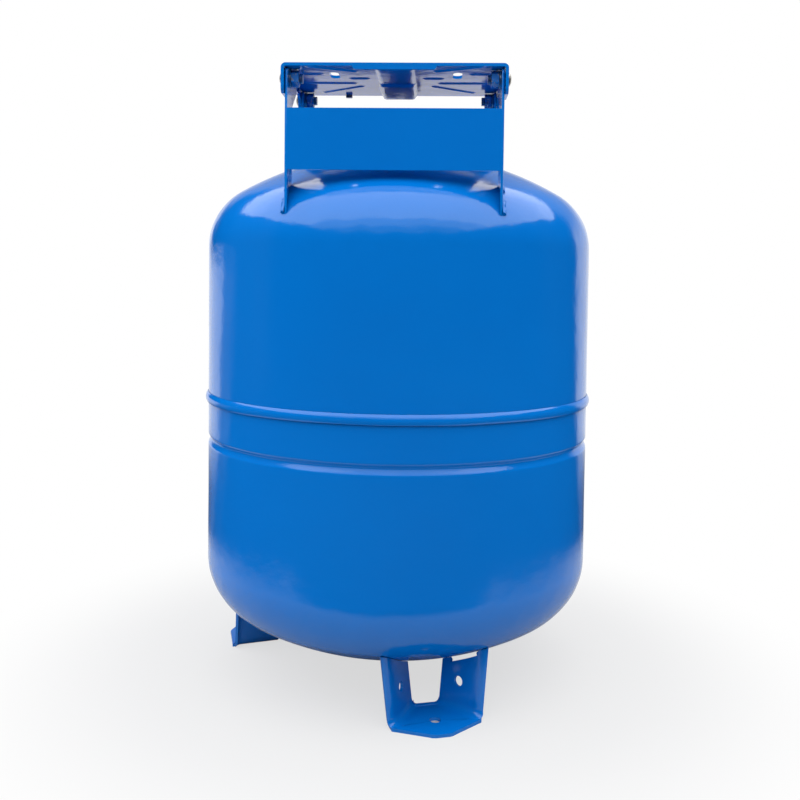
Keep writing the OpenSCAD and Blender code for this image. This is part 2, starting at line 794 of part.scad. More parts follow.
// Gas valve: a column with the outlet at the back, the relief valve at +X, the bleed at -X
module valve_body() {
  color(brass) difference() {
    union() {
      translate([0, 0, shank_low]) cylinder(r = shank_r, h = shank_h + 1);
      translate([0, 0, valve_z]) hexagon(valve_flats, valve_flange_h);
      translate([0, 0, valve_z]) cylinder(r = valve_r, h = valve_h);
      translate([0, 0, outlet_z]) rotate([-90, 0, 0]) {
        cylinder(r = outlet_r, h = outlet_reach);
        translate([0, 0, outlet_neck - 2]) cylinder(r = outlet_r + 1.5, h = 2);
      }
      translate([relief_x, 0, valve_z + 1]) cylinder(r = relief_r, h = relief_top - valve_z - 1);
      translate([0, -4, valve_z + 1]) cube([relief_x, 8, relief_top - valve_z - 1]);
      translate([0, 0, bleed_z]) rotate([0, -90, 0]) cylinder(r = bleed_r + 3, h = bleed_reach);
    }
    translate([0, 0, seat_z]) cylinder(r = chamber_r, h = valve_h);
    translate([0, 0, shank_low - 1]) cylinder(r = seat_bore_r, h = shank_h + seat_h + 2);
    translate([0, 0, outlet_z]) rotate([-90, 0, 0]) cylinder(r = 3.2, h = outlet_reach + 1);
    translate([relief_x, 0, relief_seat]) cylinder(r = relief_bore_r, h = valve_h);
    translate([relief_x, 0, relief_seat - 2]) cylinder(r = 2.2, h = 3);
    translate([dip_x, 0, relief_seat - 2]) rotate([0, 90, 0])
      cylinder(r = 1, h = relief_x - dip_x);
    translate([dip_x, 0, shank_low - 1]) cylinder(r = 1.5, h = relief_seat - shank_low - 0.5);
    translate([-dip_x, 0, shank_low - 1]) cylinder(r = dip_r + 0.1, h = 13);
    translate([-dip_x, 0, shank_low + 5]) cylinder(r = 1, h = bleed_z - shank_low - 5);
    translate([-dip_x + 1, 0, bleed_z]) rotate([0, -90, 0])
      cylinder(r = bleed_r + run_gap, h = bleed_reach);
  }
}

module valve_bonnet() {
  color(brass) translate([0, 0, valve_top + 0.05]) difference() {
    hexagon(bonnet_flats, bonnet_h - 0.05);
    translate([0, 0, -1]) cylinder(r = spindle_r + run_gap, h = bonnet_h + 2);
  }
}

module stem_seal() {
  seal_h = 2.2;
  color(dark) translate([0, 0, valve_top - seal_h]) difference() {
    cylinder(r = chamber_r - 0.1, h = seal_h);
    translate([0, 0, -1]) cylinder(r = spindle_r + run_gap, h = seal_h + 2);
  }
}

module spindle() {
  color(brass) {
    translate([0, 0, spindle_low]) cylinder(r = spindle_r, h = wheel_z + wheel_h - 2 - spindle_low);
    translate([0, 0, spindle_low]) cylinder(r = chamber_r - 1, h = collar_h);
    translate([0, 0, plug_top - tang_grip])
      cylinder(r = tang_r, h = spindle_low - plug_top + tang_grip + 0.5);
  }
}

module seat_plug() {
  color(brass) translate([0, 0, disc_z + disc_h]) difference() {
    cylinder(r = chamber_r - 0.1, h = plug_h);
    translate([0, 0, plug_h - tang_grip - plug_lift - 0.2])
      cylinder(r = tang_r + 0.1, h = plug_h);
  }
}

module seat_disc() {
  color(dark) translate([0, 0, disc_z]) cylinder(r = chamber_r - 1, h = disc_h);
}

module handwheel() {
  rim = 4.5;
  hub_r = 7;
  color(dark) translate([0, 0, wheel_z]) difference() {
    union() {
      linear_extrude(wheel_h - 1) difference() {
        circle(r = wheel_r);
        for (i = [0:wheel_lobes - 1]) rotate(360 / wheel_lobes * (i + 0.5))
          translate([wheel_r + 2.5, 0]) circle(r = 4, $fn = 32);
        circle(r = wheel_r - rim);
      }
      cylinder(r = wheel_r - rim + 1, h = 3);
      cylinder(r = hub_r, h = wheel_h - 1.5);
    }
    translate([0, 0, -1]) cylinder(r = spindle_r + 0.05, h = wheel_h + 2);
    for (i = [0:2]) rotate(120 * i) translate([(hub_r + wheel_r - rim) / 2, 0, -1])
      cylinder(r = 2.6, h = 6, $fn = 32);
  }
}

module handwheel_screw() {
  color(zinc) translate([0, 0, wheel_z + wheel_h - 1.45]) difference() {
    cylinder(r = 5, h = 1.5);
    translate([-6, -0.5, 0.8]) cube([12, 1, 2]);
  }
}

module relief_poppet() {
  color(brass) translate([relief_x, 0, poppet_z]) {
    cylinder(r = relief_bore_r - 0.1, h = poppet_h);
    cylinder(r = relief_stem_r, h = relief_cap_z + relief_cap_h - 1.6 - poppet_z);
  }
}

// Points on ring k of the coil: a small polygon swept along a helix
function coil_ring(k, rings, r, h) =
  let (turn = 360 * spring_turns * k / (rings - 1), z = spring_wire + (h - 2 * spring_wire) * k / (rings - 1))
  [for (j = [0:5]) let (a = 60 * j, q = r + spring_wire * cos(a))
    [q * cos(turn), q * sin(turn), z + spring_wire * sin(a)]];

module relief_spring() {
  rings = spring_turns * 10 + 1;
  r = relief_bore_r - 1.2;
  points = [for (k = [0:rings - 1]) each coil_ring(k, rings, r, spring_h)];
  sides = [for (k = [0:rings - 2]) for (j = [0:5]) let (a = 6 * k + j, b = 6 * k + (j + 1) % 6)
    each [[a, a + 6, b + 6], [a, b + 6, b]]];
  caps = [[for (j = [0:5]) j], [for (j = [5:-1:0]) 6 * (rings - 1) + j]];
  color(zinc) translate([relief_x, 0, spring_z]) polyhedron(points, concat(sides, caps));
}

module relief_cap() {
  color(brass) translate([relief_x, 0, relief_cap_z]) difference() {
    cylinder(r = relief_bore_r - 0.05, h = relief_cap_h);
    translate([0, 0, -1]) cylinder(r = relief_stem_r + 0.1, h = relief_cap_h + 2);
    for (i = [0:3]) rotate(90 * i) translate([relief_bore_r - 1.8, 0, -1])
      cylinder(r = 0.8, h = relief_cap_h + 2, $fn = 24);
  }
}

module bleed_screw() {
  color(brass) translate([0, 0, bleed_z]) rotate([0, -90, 0]) {
    translate([0, 0, dip_x + 2.5]) cylinder(r = bleed_r, h = bleed_reach - dip_x);
    translate([0, 0, bleed_reach + 0.3]) difference() {
      cylinder(r = 4.5, h = 4);
      translate([-5, -0.5, 2.8]) cube([10, 1, 2]);
    }
  }
}

module dip_tube() {
  color(brass) translate([-dip_x, 0, shank_low - dip_l]) difference() {
    cylinder(r = dip_r, h = dip_l + 11);
    translate([0, 0, -1]) cylinder(r = dip_r - 0.7, h = dip_l + 13);
  }
}

module float_bracket() {
  color(zinc) difference() {
    union() {
      translate([0, 0, ring_low]) cylinder(r = shank_r - 0.3, h = ring_h);
      for (side = [-1, 1]) {
        translate([side * ear_x - ear_t / 2, pin_y - 3.5, pin_z])
          cube([ear_t, 7, ring_low - pin_z + 0.5]);
        translate([side * ear_x - ear_t / 2, pin_y, pin_z]) rotate([0, 90, 0])
          cylinder(r = 3.5, h = ear_t);
      }
    }
    translate([0, 0, ring_low - 1]) cylinder(r = seat_bore_r, h = ring_h + 2);
    translate([-dip_x, 0, pin_z - 10]) cylinder(r = dip_r + 0.3, h = far);
    translate([dip_x, 0, ring_low - 1]) cylinder(r = 1.5, h = ring_h + 2);
    translate([-20, pin_y, pin_z]) rotate([0, 90, 0]) cylinder(r = pin_r + run_gap, h = 40);
  }
}

module float_pin() {
  span = 2 * ear_x + ear_t;
  color(zinc) translate([0, pin_y, pin_z]) rotate([0, 90, 0]) {
    translate([0, 0, -span / 2 - 0.5]) cylinder(r = pin_r, h = span + 1);
  }
}

module in_arm_frame() {
  translate([0, pin_y, pin_z]) rotate([-float_hang, 0, 0]) children();
}

module float_arm() {
  color(zinc) in_arm_frame() difference() {
    union() {
      translate([-ear_x + ear_t / 2 + 0.4, 0, 0]) rotate([0, 90, 0])
        cylinder(r = arm_hub_r, h = 2 * ear_x - ear_t - 0.8);
      translate([-2, 0, -1.5]) cube([4, arm_l + 4, 3]);
    }
    translate([-20, 0, 0]) rotate([0, 90, 0]) cylinder(r = pin_r + run_gap, h = 40);
  }
}

module float_body() {
  color(dark) in_arm_frame() translate([0, arm_l, 0]) rotate([-90, 0, 0]) difference() {
    union() {
      translate([0, 0, 3]) cylinder(r = float_r, h = float_l - 6);
      translate([0, 0, 0]) cylinder(r = float_r - 3, h = float_l);
      for (z = [3, float_l - 3]) translate([0, 0, z]) rotate_extrude()
        translate([float_r - 3, 0]) circle(r = 3, $fn = 32);
    }
    translate([-2.1, -1.6, -1]) cube([4.2, 3.2, 6]);
  }
}

upper_shell();
lower_shell();
girth_weld();
valve_boss();
boss_weld();
foot_front();
foot_left();
foot_right();
foot_welds();
front_bracket();
rear_bracket();
bracket_welds();
platform();
rear_tab();
front_bolts();
front_washers();
front_nuts();
rear_bolts();
rear_washers();
rear_nuts();
valve_body();
valve_bonnet();
stem_seal();
spindle();
seat_plug();
seat_disc();
handwheel();
handwheel_screw();
relief_poppet();
relief_spring();
relief_cap();
bleed_screw();
dip_tube();
float_bracket();
float_pin();
float_arm();
float_body();
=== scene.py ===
import json
import math
import bmesh
import bpy
import numpy as np
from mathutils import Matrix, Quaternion, Vector

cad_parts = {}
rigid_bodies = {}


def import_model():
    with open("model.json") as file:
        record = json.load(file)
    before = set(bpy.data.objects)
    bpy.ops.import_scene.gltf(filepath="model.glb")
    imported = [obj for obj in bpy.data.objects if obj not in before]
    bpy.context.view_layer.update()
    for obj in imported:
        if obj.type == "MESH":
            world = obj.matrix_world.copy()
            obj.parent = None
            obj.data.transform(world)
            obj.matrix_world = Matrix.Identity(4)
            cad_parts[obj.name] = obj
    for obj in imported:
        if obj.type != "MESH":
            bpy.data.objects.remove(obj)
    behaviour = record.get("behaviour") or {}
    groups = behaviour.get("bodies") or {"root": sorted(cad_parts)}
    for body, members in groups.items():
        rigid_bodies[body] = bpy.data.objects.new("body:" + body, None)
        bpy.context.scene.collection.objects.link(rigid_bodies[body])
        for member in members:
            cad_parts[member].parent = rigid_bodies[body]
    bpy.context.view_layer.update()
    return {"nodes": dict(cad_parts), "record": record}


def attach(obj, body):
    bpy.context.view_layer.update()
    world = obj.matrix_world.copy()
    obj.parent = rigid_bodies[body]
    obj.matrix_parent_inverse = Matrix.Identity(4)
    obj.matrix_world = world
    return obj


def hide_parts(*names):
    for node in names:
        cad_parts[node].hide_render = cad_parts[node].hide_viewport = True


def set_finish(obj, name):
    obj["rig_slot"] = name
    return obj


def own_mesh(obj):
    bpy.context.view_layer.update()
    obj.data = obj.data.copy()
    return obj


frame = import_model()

nodes = frame["nodes"]
mm = 0.001


# vessel figures shared by several pieces, in mm, as in the solid model
vessel = {
    "radius": 190.0, "wall": 3.0, "knuckle": 61.0, "crown": 316.0, "barrel": 304.0,
    "groundGap": 17.0, "seamRise": 157.0, "rootGap": 1.5, "poleHole": 23.3,
    "joggle": 3.5, "lapClear": 0.2, "lapRise": 16.0, "lapChamfer": 0.5,
    "steps": 288, "outerSteps": 34, "innerSteps": 14,  # mesh: round the axis, and along each head
}
slant = math.sqrt((vessel["crown"] - vessel["knuckle"]) ** 2 - (vessel["radius"] - vessel["knuckle"]) ** 2)
headRise = vessel["crown"] - slant
lowTangent = vessel["groundGap"] + headRise
topTangent = lowTangent + vessel["barrel"]
topPole = topTangent + headRise
seamZ = lowTangent + vessel["seamRise"]


def newPiece(name, points, faces, body="tank", slot="blue_paint", smoothAngle=35, replaces=()):
    # points in mm as an (n, 3) array, faces as lists of point numbers
    mesh = bpy.data.meshes.new(name)
    mesh.from_pydata((np.asarray(points, float) * mm).tolist(), [], [list(map(int, f)) for f in faces])
    mesh.polygons.foreach_set("use_smooth", np.ones(len(mesh.polygons), bool))
    mesh.set_sharp_from_angle(angle=math.radians(smoothAngle))
    mesh.update()
    piece = bpy.data.objects.new(name, mesh)
    bpy.context.scene.collection.objects.link(piece)
    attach(piece, body)
    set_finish(piece, slot)
    if replaces:
        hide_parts(*replaces)
    return piece


def gridFaces(rows, cols, closeCols=False, closeRows=False, flip=False):
    # quads between neighbouring rows and columns of points numbered row by row
    r = np.arange(rows if closeRows else rows - 1)[:, None]
    c = np.arange(cols if closeCols else cols - 1)[None, :]
    r2, c2 = (r + 1) % rows, (c + 1) % cols
    quads = np.stack([r * cols + c, r * cols + c2, r2 * cols + c2, r2 * cols + c], -1).reshape(-1, 4)
    return quads[:, ::-1] if flip else quads


def addBevel(piece, width, angle=30):
    bevel = piece.modifiers.new("edges", "BEVEL")
    bevel.width, bevel.segments = width * mm, 2
    bevel.limit_method, bevel.angle_limit = "ANGLE", math.radians(angle)
    bevel.harden_normals = True
    return piece


def addThickness(piece, thickness):
    # half of the thickness to each side of the mesh
    solid = piece.modifiers.new("sheet", "SOLIDIFY")
    solid.thickness, solid.offset = thickness * mm, 0
    solid.use_even_offset = False
    solid.use_quality_normals = True


def weld(piece, distance):
    # joins points closer than distance and makes the faces agree on one side
    work = bmesh.new()
    work.from_mesh(piece.data)
    bmesh.ops.remove_doubles(work, verts=work.verts, dist=distance * mm)
    bmesh.ops.recalc_face_normals(work, faces=work.faces)
    work.to_mesh(piece.data)
    work.free()
    piece.data.update()


def turned(name, profile, steps, shift=None, smoothAngle=35, **kind):
    # a closed profile of (radius, height) carried round the axis: x = r cos a, y = r sin a, z = h;
    # shift(angle, r, z) moves points along r and z
    profile = np.asarray(profile, float)
    angle = np.arange(steps) * 2 * math.pi / steps
    a, r = np.meshgrid(angle, profile[:, 0], indexing="ij")
    z = np.broadcast_to(profile[:, 1], r.shape)
    if shift:
        dr, dz = shift(a, r, z)
        r, z = r + dr, z + dz
    points = np.stack([r * np.cos(a), r * np.sin(a), z], -1).reshape(-1, 3)
    quads = gridFaces(steps, len(profile), closeCols=True, closeRows=True)
    onAxis = profile[:, 0] < 1e-6
    faces = []
    cols = len(profile)
    if onAxis.any():
        # points on the axis are one point, so quads there become triangles
        keep = np.arange(len(points)).reshape(steps, cols)
        for c in np.nonzero(onAxis)[0]:
            keep[:, c] = c
        quads = keep.reshape(-1)[quads]
    for q in quads.tolist():
        f = [q[i] for i in range(4) if q[i] != q[i - 1]]
        if len(f) > 2:
            faces.append(f)
    used = np.unique(np.concatenate([np.asarray(f) for f in faces]))
    number = np.full(len(points), -1)
    number[used] = np.arange(len(used))
    return newPiece(name, points[used], [number[f].tolist() for f in faces], smoothAngle=smoothAngle, **kind)


def headProfile(inset, steps, toRho):
    # upper half of a head, from its tangent line to radius toRho: knuckle arc, then crown arc
    k, big = vessel["knuckle"] - inset, vessel["crown"] - inset
    centre = vessel["radius"] - vessel["knuckle"]
    turn = math.acos(centre / (vessel["crown"] - vessel["knuckle"]))
    a = np.linspace(0, turn, steps)[1:]
    knuckle = np.stack([centre + k * np.cos(a), k * np.sin(a)], -1)
    b = np.linspace(math.pi / 2 - turn, math.asin(toRho / big), int(steps * 1.5))[1:]
    crown = np.stack([big * np.sin(b), big * np.cos(b) - slant], -1)
    return np.concatenate([knuckle, crown])


# in mm; inward is the largest sum of long waves and ripple, so that no point goes outwards of the solid model
waves = {"long": 0.10, "ripple": 0.26, "inward": 0.53, "share": 0.6, "band": 26.0, "bandRise": 20.0}


def shellWaves(a, r, z):
    # slight unevenness of a pressed and rolled shell: a few long waves
    amount = np.sin(5 * a + z / 37) + np.sin(9 * a - z / 23 + 1.3) + 0.7 * np.sin(14 * a + z / 11 + 4.0)
    # the die leaves short ripples on the knuckles
    over, under = z - topTangent - waves["bandRise"], z - lowTangent + waves["bandRise"]
    shoulder = np.exp(-(over / waves["band"]) ** 2) + np.exp(-(under / waves["band"]) ** 2)
    ripple = shoulder * np.sin(31 * a + 2.2 * np.sin(7 * a)) * np.sin(z / 7 + 3 * np.sin(4 * a))
    amount = waves["long"] * amount + waves["ripple"] * ripple - waves["inward"]
    return amount * waves["share"] * np.clip((r - 20) / 60, 0, 1), 0 * z


def makeUpperShell():
    low, inside = seamZ + vessel["rootGap"] / 2, vessel["radius"] - vessel["wall"]
    outerRows, innerRows = 28, 6
    outerWall = np.stack([np.full(outerRows, vessel["radius"]), np.linspace(low, topTangent, outerRows)], -1)
    outerHead = headProfile(0, vessel["outerSteps"], vessel["poleHole"]) + [0, topTangent]
    innerHead = headProfile(vessel["wall"], vessel["innerSteps"], vessel["poleHole"])[::-1] + [0, topTangent]
    innerWall = np.stack([np.full(innerRows, inside), np.linspace(topTangent, low, innerRows)], -1)
    profile = np.concatenate([outerWall, outerHead, innerHead, innerWall])
    turned("upperShell", profile, vessel["steps"], shellWaves, replaces=["upper_shell"])


groove = {"z": seamZ - 39.8, "up": 3.7, "down": 5.3, "depth": 2.9, "edge": 0.25, "reach": 12.0}


def grooveDepth(z):
    # rolled groove: two straight flanks, t = distance from the bottom over the flank's length, rounded at the
    # bottom by sqrt(t^2 + 0.0225), and faded out at the edges by a soft maximum with 0
    x = z - groove["z"]
    t = np.where(x > 0, x / groove["up"], -x / groove["down"])
    dip = groove["depth"] * (1.06 - np.sqrt(t ** 2 + 0.0225))
    soft = 0.5 * (dip + np.sqrt(dip ** 2 + groove["edge"] ** 2))
    return soft * np.clip((1.7 - t) / 0.5, 0, 1)


def makeLowerShell():
    rim = seamZ - vessel["rootGap"] / 2
    low, high = groove["z"] - groove["reach"], groove["z"] + groove["reach"]
    z = np.concatenate([np.linspace(lowTangent, low, 20)[:-1], np.linspace(low, high, 40)[:-1],
                        np.linspace(high, rim - vessel["joggle"], 10)])
    outerWall = np.stack([vessel["radius"] - grooveDepth(z), z], -1)
    outerHead = (headProfile(0, vessel["outerSteps"], 0.0) * [1, -1] + [0, lowTangent])[::-1]
    innerWall = np.stack([vessel["radius"] - vessel["wall"] - grooveDepth(z), z], -1)[::-1]
    innerHead = headProfile(vessel["wall"], vessel["innerSteps"], 0.0) * [1, -1] + [0, lowTangent]
    # the rim steps inwards by a wall and a clearance, and laps behind the upper shell
    lap = vessel["radius"] - vessel["wall"] - vessel["lapClear"]
    inner, lapTop, c = lap - vessel["wall"], seamZ + vessel["lapRise"], vessel["lapChamfer"]
    joggle = np.array([[lap, rim], [lap, lapTop - c], [lap - c, lapTop], [inner + c, lapTop],
                       [inner, lapTop - c], [inner, rim]])
    profile = np.concatenate([outerHead, outerWall, joggle, innerWall, innerHead])
    turned("lowerShell", profile, vessel["steps"], shellWaves, replaces=["lower_shell"])


girthBead = {
    "width": 11.0, "proud": 2.6, "gap": 0.05, "lowEnd": 30.0, "lowStep": 0.25,
    "ripple": 0.10, "wander": 0.10, "sway": 0.21, "steps": 768,
}


def makeGirthWeld():
    half, proud = girthBead["width"] / 2, girthBead["proud"]
    r = (half ** 2 + proud ** 2) / (2 * proud)
    edge = math.asin(half / r)
    t = np.linspace(-math.radians(girthBead["lowEnd"]), edge, 17)
    arc = np.stack([vessel["radius"] + proud - r + r * np.cos(t), seamZ + r * np.sin(t)], -1)
    root = vessel["radius"] + girthBead["gap"]
    profile = np.concatenate([[[root, arc[0, 1] + girthBead["lowStep"]]], arc[:-1], [[root, seamZ + half]]])

    def shift(a, r, z):
        # laid bead: short overlapping ripples and a slow wander in width and height
        share = np.clip((r - vessel["radius"]) / proud, 0, 1)
        slow = np.sin(3 * a + 0.4) + 0.6 * np.sin(7 * a + 2) + 0.4 * np.sin(17 * a + 1)
        ripples = np.abs(np.sin(190 * a + 0.8 * ((z - seamZ) / half) ** 2))
        dr = -share * (girthBead["ripple"] * ripples + girthBead["wander"] * (slow + 2.0) / 2)
        return dr, girthBead["sway"] * slow * share
    turned("girthWeld", profile, girthBead["steps"], shift, smoothAngle=60, replaces=["girth_weld"])


boss = {
    "radius": 23.0, "bore": 12.5, "depth": 8.0, "rise": 6.0, "chamfer": 1.0, "boreChamfer": 1.2, "steps": 128,
    "beadGap": 0.15, "beadWidth": 3.6, "beadHeight": 3.4, "beadFoot": 24.0, "beadRipple": 0.35, "beadSteps": 416,
}


def makeBoss():
    low, high, c = topPole - boss["depth"], topPole + boss["rise"], boss["chamfer"]
    profile = [[boss["bore"], low], [boss["radius"], low], [boss["radius"], high - c],
               [boss["radius"] - c * 0.3, high - c * 0.3], [boss["radius"] - c, high],
               [boss["bore"] + boss["boreChamfer"], high], [boss["bore"], high - boss["boreChamfer"]]]
    turned("valveBoss", profile, boss["steps"], replaces=["valve_boss"])

    # bead between boss and head: a quarter ellipse over the head's height at the radius beadFoot
    at = math.sqrt(vessel["crown"] ** 2 - boss["beadFoot"] ** 2) - slant + topTangent
    t = np.linspace(-0.05, math.pi / 2 + 0.05, 11)
    arc = np.stack([boss["radius"] + boss["beadGap"] + boss["beadWidth"] * np.cos(t),
                    at + 0.25 + boss["beadHeight"] * np.sin(t)], -1)
    profile = np.concatenate([[[boss["radius"] + 0.1, at + 0.2]], arc])

    def shift(a, r, z):
        share = np.clip((r - boss["radius"]) / boss["beadWidth"], 0, 1)
        ripples = np.abs(np.sin(26 * a + 0.6 * share))
        dr = -share * (boss["beadRipple"] * ripples + 0.2 * (1 + np.sin(3 * a)))
        return dr, -0.15 * ripples * (z > at + 0.5)
    turned("bossWeld", profile, boss["beadSteps"], shift, smoothAngle=60, replaces=["boss_weld"])


makeUpperShell()
makeLowerShell()
makeGirthWeld()
makeBoss()
print("vessel done")


foot = {
    "turn": 15.2, "sheet": 3.0, "back": 126.0, "backHalf": 12.0, "wide": 164.0, "wideHalf": 40.0,
    "tip": 184.0, "tipHalf": 10.0, "holeAt": 158.0, "holeR": 5.0, "flare": 7.2, "lipR": 7.0,
    "lipTurn": 50.0, "fillet": 6.0, "sill": 4.0, "sideHoleR": 4.5, "sideHoleZ": 27.0,
    "slots": (4.1, 0.0),  # depth of the slot under the head, in the right wall and in the left one
    "slotRamps": (0.20, 0.235, 0.955, 0.985), "headGap": 0.1, "cornerR": 5.5, "tuck": 0.35, "filletEnd": 1.32,
    "plainTop": 36.0, "sillR": 2.4, "windowR": 4.0, "edgeR": 0.6,
}


def underHead(rho):
    # height of the lower head's outside over the floor at a distance rho from the axis
    edge = vessel["crown"] * (vessel["radius"] - vessel["knuckle"]) / (vessel["crown"] - vessel["knuckle"])
    crown = np.sqrt(np.maximum(vessel["crown"] ** 2 - rho ** 2, 0)) - slant
    knuckle = np.sqrt(np.maximum(vessel["knuckle"] ** 2 - (rho - vessel["radius"] + vessel["knuckle"]) ** 2, 0))
    return lowTangent - np.where(rho < edge, crown, knuckle)


def softStep(x, low, high):
    t = np.clip((x - low) / (high - low), 0, 1)
    return t * t * (3 - 2 * t)


def wallPath(count, lipCount):
    # the right wall's middle line in plan from its back end to the lip's end, and its outward normal
    run = np.array([foot["wide"] - foot["back"], foot["wideHalf"] - foot["backHalf"]])
    turn = math.atan2(run[1], run[0])
    length = np.hypot(*run) - foot["lipR"] - foot["sheet"] / 2
    along, out = np.array([math.cos(turn), math.sin(turn)]), np.array([-math.sin(turn), math.cos(turn)])
    s = np.linspace(0, length, count)
    line = np.array([foot["back"], foot["backHalf"]]) + s[:, None] * along + foot["sheet"] / 2 * out
    r = foot["lipR"] + foot["sheet"] / 2
    t = np.linspace(0, math.radians(foot["lipTurn"]), lipCount + 1)[1:]
    centre = line[-1] + r * out
    arc = centre + r * (np.sin(t)[:, None] * along - np.cos(t)[:, None] * out)
    normal = np.concatenate([np.tile(out, (count, 1)),
                             np.cos(t)[:, None] * out - np.sin(t)[:, None] * along])
    share = np.concatenate([s / length, 1 + r * t / length])
    return np.concatenate([line, arc]), normal, share, length


def footFrame(points, index):
    a = math.radians(foot["turn"] - 90 + 120 * index)
    x, y, z = np.asarray(points, float).T
    return np.stack([x * math.cos(a) - y * math.sin(a), x * math.sin(a) + y * math.cos(a), z], -1)


def sheetWithHoles(us, vs, holes):
    # a grid over us and vs; at each hole a block of cells is taken out, and rings of quads run from the block's
    # rim to the outline: ring k = rim + (outline - rim) * k / rings
    nu, nv = len(us), len(vs)
    u, v = np.meshgrid(us, vs, indexing="ij")
    uv = [np.stack([u, v], -1).reshape(-1, 2)]
    number = np.arange(nu * nv).reshape(nu, nv)
    quads = gridFaces(nu, nv).reshape(nu - 1, nv - 1, 4)
    keep = np.ones((nu - 1, nv - 1), bool)
    faces = []
    count = nu * nv
    for hole in holes:
        i0, i1, j0, j1 = hole["block"]
        keep[i0:i1, j0:j1] = False
        rim = np.concatenate([number[i0:i1, j0], number[i1, j0:j1], number[i1:i0:-1, j1], number[i0, j1:j0:-1]])
        edge = uv[0][rim]
        centre = np.array(hole["centre"], float)
        angles = np.arctan2(edge[:, 1] - centre[1], edge[:, 0] - centre[0])
        inner = hole["outline"](angles) + centre
        rings = hole.get("rings", 3)
        last = rim
        for k in range(1, rings + 1):
            t = k / rings
            ring = edge + (inner - edge) * t
            new = count + np.arange(len(rim))
            uv.append(ring)
            count += len(rim)
            nxt = np.roll(np.arange(len(rim)), -1)
            faces += np.stack([last, new, new[nxt], last[nxt]], -1)[:, ::-1].tolist()
            last = new
    faces = quads[keep].reshape(-1, 4).tolist() + faces
    uv = np.concatenate(uv)
    used = np.unique(np.asarray(faces))
    renumber = np.full(len(uv), -1)
    renumber[used] = np.arange(len(used))
    return uv[used], renumber[np.asarray(faces)]


def circleOutline(r):
    return lambda angles: np.stack([r * np.cos(angles), r * np.sin(angles)], -1)


def stadiumOutline(halfWidth, halfLength):
    # a slot along v with round ends: where the ray at each angle leaves it
    def outline(angles):
        c, s = np.cos(angles), np.sin(angles)
        flat = halfLength - halfWidth
        side = halfWidth / np.maximum(np.abs(c), 1e-9)
        b = flat * np.abs(s)
        end = b + np.sqrt(np.maximum(b ** 2 - flat ** 2 + halfWidth ** 2, 0))
        reach = np.where(side * np.abs(s) <= flat, side, end)
        return np.stack([reach * c, reach * s], -1)
    return outline


